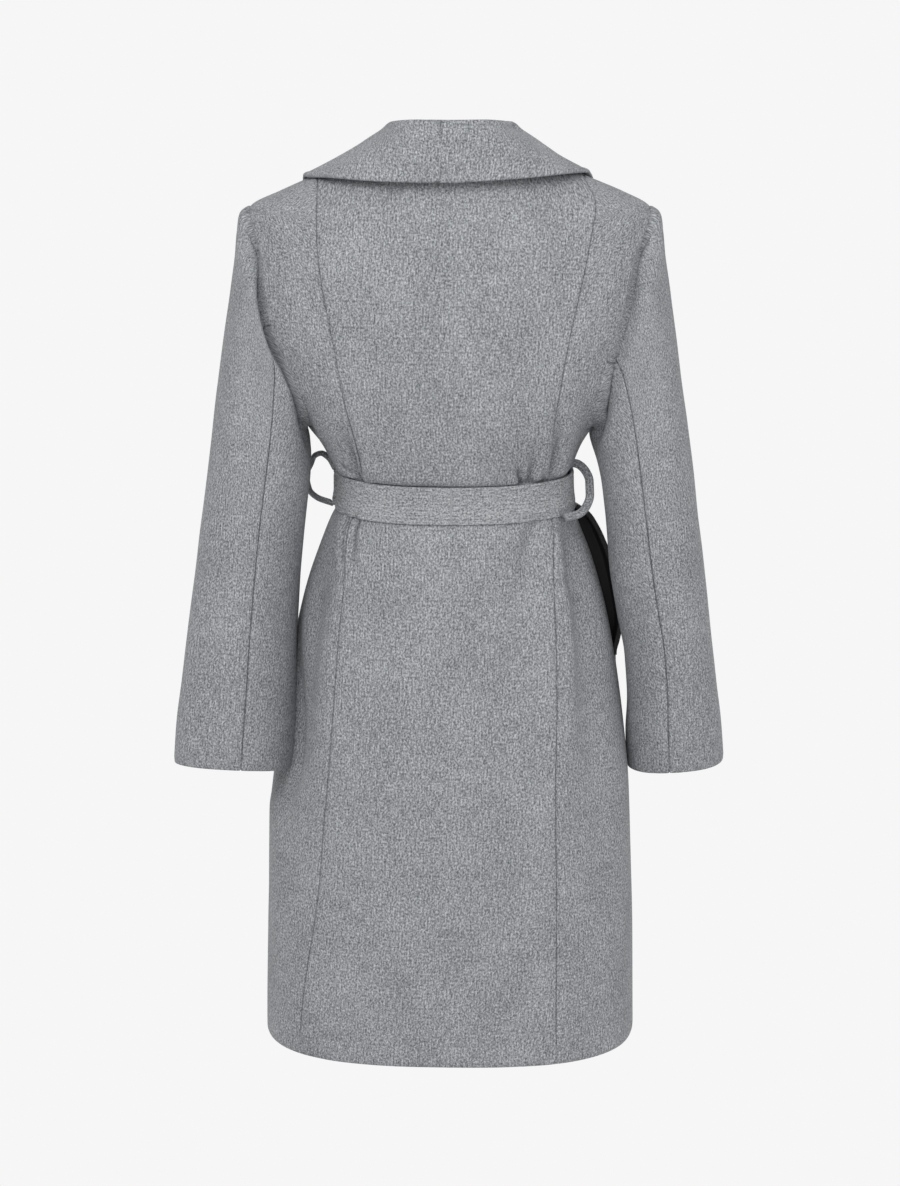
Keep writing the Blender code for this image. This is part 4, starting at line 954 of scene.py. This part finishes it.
lining = {"topZ": -380, "rowSize": 2.5, "columns": 71, "clear": 3.6, "flap": 8, "deep": 14,
          "under": 4.4, "set": 4, "wrapUnder": 3.4, "wrapOver": 1.4, "wrapPast": 1.5, "overlap": 2.5}


def makeLining():  # from under the side back, across the mouth and round the front's raw edge
    z = stepped([lining["topZ"], pocket["lowZ"]], [lining["rowSize"]])
    behind = bodyPoint(setBack(-90.0 + 0 * z, z, 1), z) + np.array([lining["clear"], 0, 0])
    angle = setBack(270.0 + 0 * z, z, -1)
    edge = rightFrontPoint(angle, z)
    out = surfaceNormal(rightFrontPoint, angle, z)
    beyond = unit(np.array([0, 1, 0]) - out * out[:, 1:2])
    deep = np.array([0, -lining["deep"], 0])
    before = edge - out * lining["under"] - beyond * lining["set"]
    past = beyond * lining["wrapPast"]
    line = np.stack([behind + np.array([0, lining["flap"], 0]), behind, behind + deep,
                     behind * 0.2 + before * 0.8 + deep, before, edge - out * lining["wrapUnder"] + past,
                     edge + out * lining["wrapOver"] + past,
                     edge + out * (lining["wrapOver"] - 0.2) - beyond * lining["overlap"]], 1)
    flat = np.zeros(out.shape)
    depth = np.stack([flat + (1, 0, 0), flat + (1, 0, 0), flat + (1, -1, 0), flat + (-0.5, -1, 0), out,
                      (out - beyond) * 0.8, -(out + beyond) * 0.8, -out * 0.8], 1)
    segments = line.shape[1] - 1
    at = np.linspace(0, segments, lining["columns"])
    i = np.clip(at.astype(int), 0, segments - 1)
    t = (at - i)[None, :, None]
    face = line[:, i] * (1 - t) + line[:, i + 1] * t
    back = face + depth[:, i] * (1 - t) + depth[:, i + 1] * t
    clothPiece("pocketLining", "pocket_lining_right", "pocket_lining", face, back)


makeLining()
print("pocket lined")

knot = {"x": 14, "z": -360, "width": 46, "height": 44, "bulge": 15, "cloth": 4, "clear": 1,
        "pinch": 0.24, "topWide": 0.88, "lowWide": 1.08, "skew": 9, "sideDrop": 6,
        "crease": 2, "creaseTurn": 8.5, "creaseLean": 2.6, "radius": 105}
beltEnds = {"left": {"x": 33, "lean": 44, "length": 330},
            "right": {"x": -6, "lean": -20, "length": 372}}
hanging = {"under": 28.5, "wide": 35.5, "gathered": 0.72, "opensBy": 94, "clear": 3.2, "knotClear": 4.5,
           "wave": 0.8, "least": 2.6, "spread": 0.2}


def makeKnot():  # one folded sheet that wraps over the belt, creased and pinched in
    middle = float(angleAt(knot["x"], knot["z"], -1))
    u = np.linspace(-1, 1, 49)[None, :]
    v = np.linspace(0, 1, 61)[:, None]
    turn = np.pi * v
    arch = np.sin(turn)
    z = knot["z"] + knot["height"] / 2 * np.cos(turn) + 0 * u
    wide = (1 - knot["pinch"] * arch ** 2) * (knot["topWide"] + (knot["lowWide"] - knot["topWide"]) * v)
    x = knot["width"] / 2 * u * wide + knot["skew"] * (0.5 - v)
    creases = knot["crease"] * np.cos(u * knot["creaseTurn"] + knot["creaseLean"] * (v - 0.5)) * arch ** 0.6
    swell = (knot["bulge"] - knot["cloth"]) * arch ** 0.7 - knot["sideDrop"] * np.abs(u) ** 3 * arch
    off = belt["cloth"] + knot["clear"] + knot["cloth"] + swell + creases
    angle = middle - np.degrees(x / knot["radius"])
    radius = beltInside(angle, np.clip(z, belt["low"], belt["top"])) + off
    face = levelWay(angle) * radius[..., None] + upwards * z[..., None]
    outward = levelWay(middle + z * 0) + upwards * np.cos(turn)[..., None]
    back = face - gridNormals(face, outward) * knot["cloth"]
    clothPiece("beltKnot", "belt_knot", "belt_wool", face, back)


def makeBeltEnd(name, end):  # gathered where it leaves the knot, and flat further down
    top = knot["z"] - hanging["under"]
    z = np.linspace(top, top - end["length"], 110)[:, None]
    v = (top - z) / end["length"]
    u = np.linspace(-0.5, 0.5, 19)[None, :]
    middle = end["x"] + end["lean"] * smooth(v) + (end["x"] - knot["x"]) * hanging["spread"]
    settle = smooth((top - z) / hanging["opensBy"])
    x = middle + hanging["wide"] * u * (hanging["gathered"] + (1 - hanging["gathered"]) * settle)
    z = z + 0 * x
    angle = angleAt(x, z, -1)
    point, normal = rightFrontPoint(angle, z), surfaceNormal(rightFrontPoint, angle, z)
    off = hanging["clear"] + hanging["knotClear"] * (1 - settle) + hanging["wave"] * np.sin(v * 9 + u * 2)
    off = np.maximum(off, hanging["least"])
    back = point + normal * off[..., None]
    fromEdge = hanging["wide"] * (0.5 - np.abs(u))
    face = point + normal * (off + belt["cloth"] - stitchGroove(fromEdge))[..., None]
    clothPiece(f"{name}BeltEnd", f"belt_end_{name}", "belt_wool", face, back)


makeKnot()
for name, end in beltEnds.items():
    makeBeltEnd(name, end)
print("belt made")

stage = {"floorZ": -1.25, "floorSize": 60, "pale": "f6f6f6", "around": 0.55, "lampSize": 2.2,  # in metres
         "lamps": {"softKey": ((0.85, 2.8, 1.95), 51), "softFill": ((-1.8, 2.4, 0.8), 15)},
         "lampTarget": (0, 0, -0.45), "cameraTarget": (0, 0, -0.474), "cameraLift": 13.5,
         "cameraDistance": 3.5, "lens": 100.7}


def addToScene(name, data, place, target):  # looking from its place at the target
    made = bpy.data.objects.new(name, data)
    bpy.context.scene.collection.objects.link(made)
    made.location = place
    made.rotation_euler = (Vector(target) - Vector(place)).to_track_quat("-Z", "Y").to_euler()
    return made


def makeStage():
    bpy.ops.object.select_all(action="DESELECT")
    bpy.ops.mesh.primitive_plane_add(size=stage["floorSize"], location=(0, 0, stage["floorZ"]))
    floor = bpy.context.object
    floor.name = "studioFloor"
    glow, tree, shader = newMaterial("pale studio floor", 1)  # evenly lit paper, without shadows
    tree.nodes.remove(shader)
    light = addNode(tree, "Emission", {}, {"Color": linear(stage["pale"]), "Strength": 1})
    tree.links.new(light.outputs[0], tree.nodes["Material Output"].inputs["Surface"])
    floor.data.materials.append(glow)
    floor.visible_diffuse = False
    world = bpy.data.worlds.new("pale studio")
    world.use_nodes = True
    bpy.context.scene.world = world
    tree = world.node_tree
    seen = tree.nodes["Background"]
    seen.inputs["Color"].default_value = linear(stage["pale"])
    around = addNode(tree, "Background", {}, {"Color": (1, 1, 1, 1), "Strength": stage["around"]})
    path = addNode(tree, "LightPath")
    mix = addNode(tree, "MixShader", {}, {}, {0: path.outputs["Is Camera Ray"], 1: around.outputs[0],
                                             2: seen.outputs[0]})
    tree.links.new(mix.outputs[0], tree.nodes["World Output"].inputs["Surface"])
    for name, (place, power) in stage["lamps"].items():
        data = bpy.data.lights.new(name, "AREA")
        data.shape, data.size, data.energy = "SQUARE", stage["lampSize"], power
        addToScene(name, data, place, stage["lampTarget"])
    data = bpy.data.cameras.new("camera")
    data.lens = stage["lens"]
    lift, target = np.radians(stage["cameraLift"]), Vector(stage["cameraTarget"])
    place = target + Vector((0, np.cos(lift), np.sin(lift))) * stage["cameraDistance"]
    bpy.context.scene.camera = addToScene("camera", data, place, target)
    bpy.context.scene.view_settings.view_transform = "Standard"
    print("stage made")


makeStage()
print("all made")
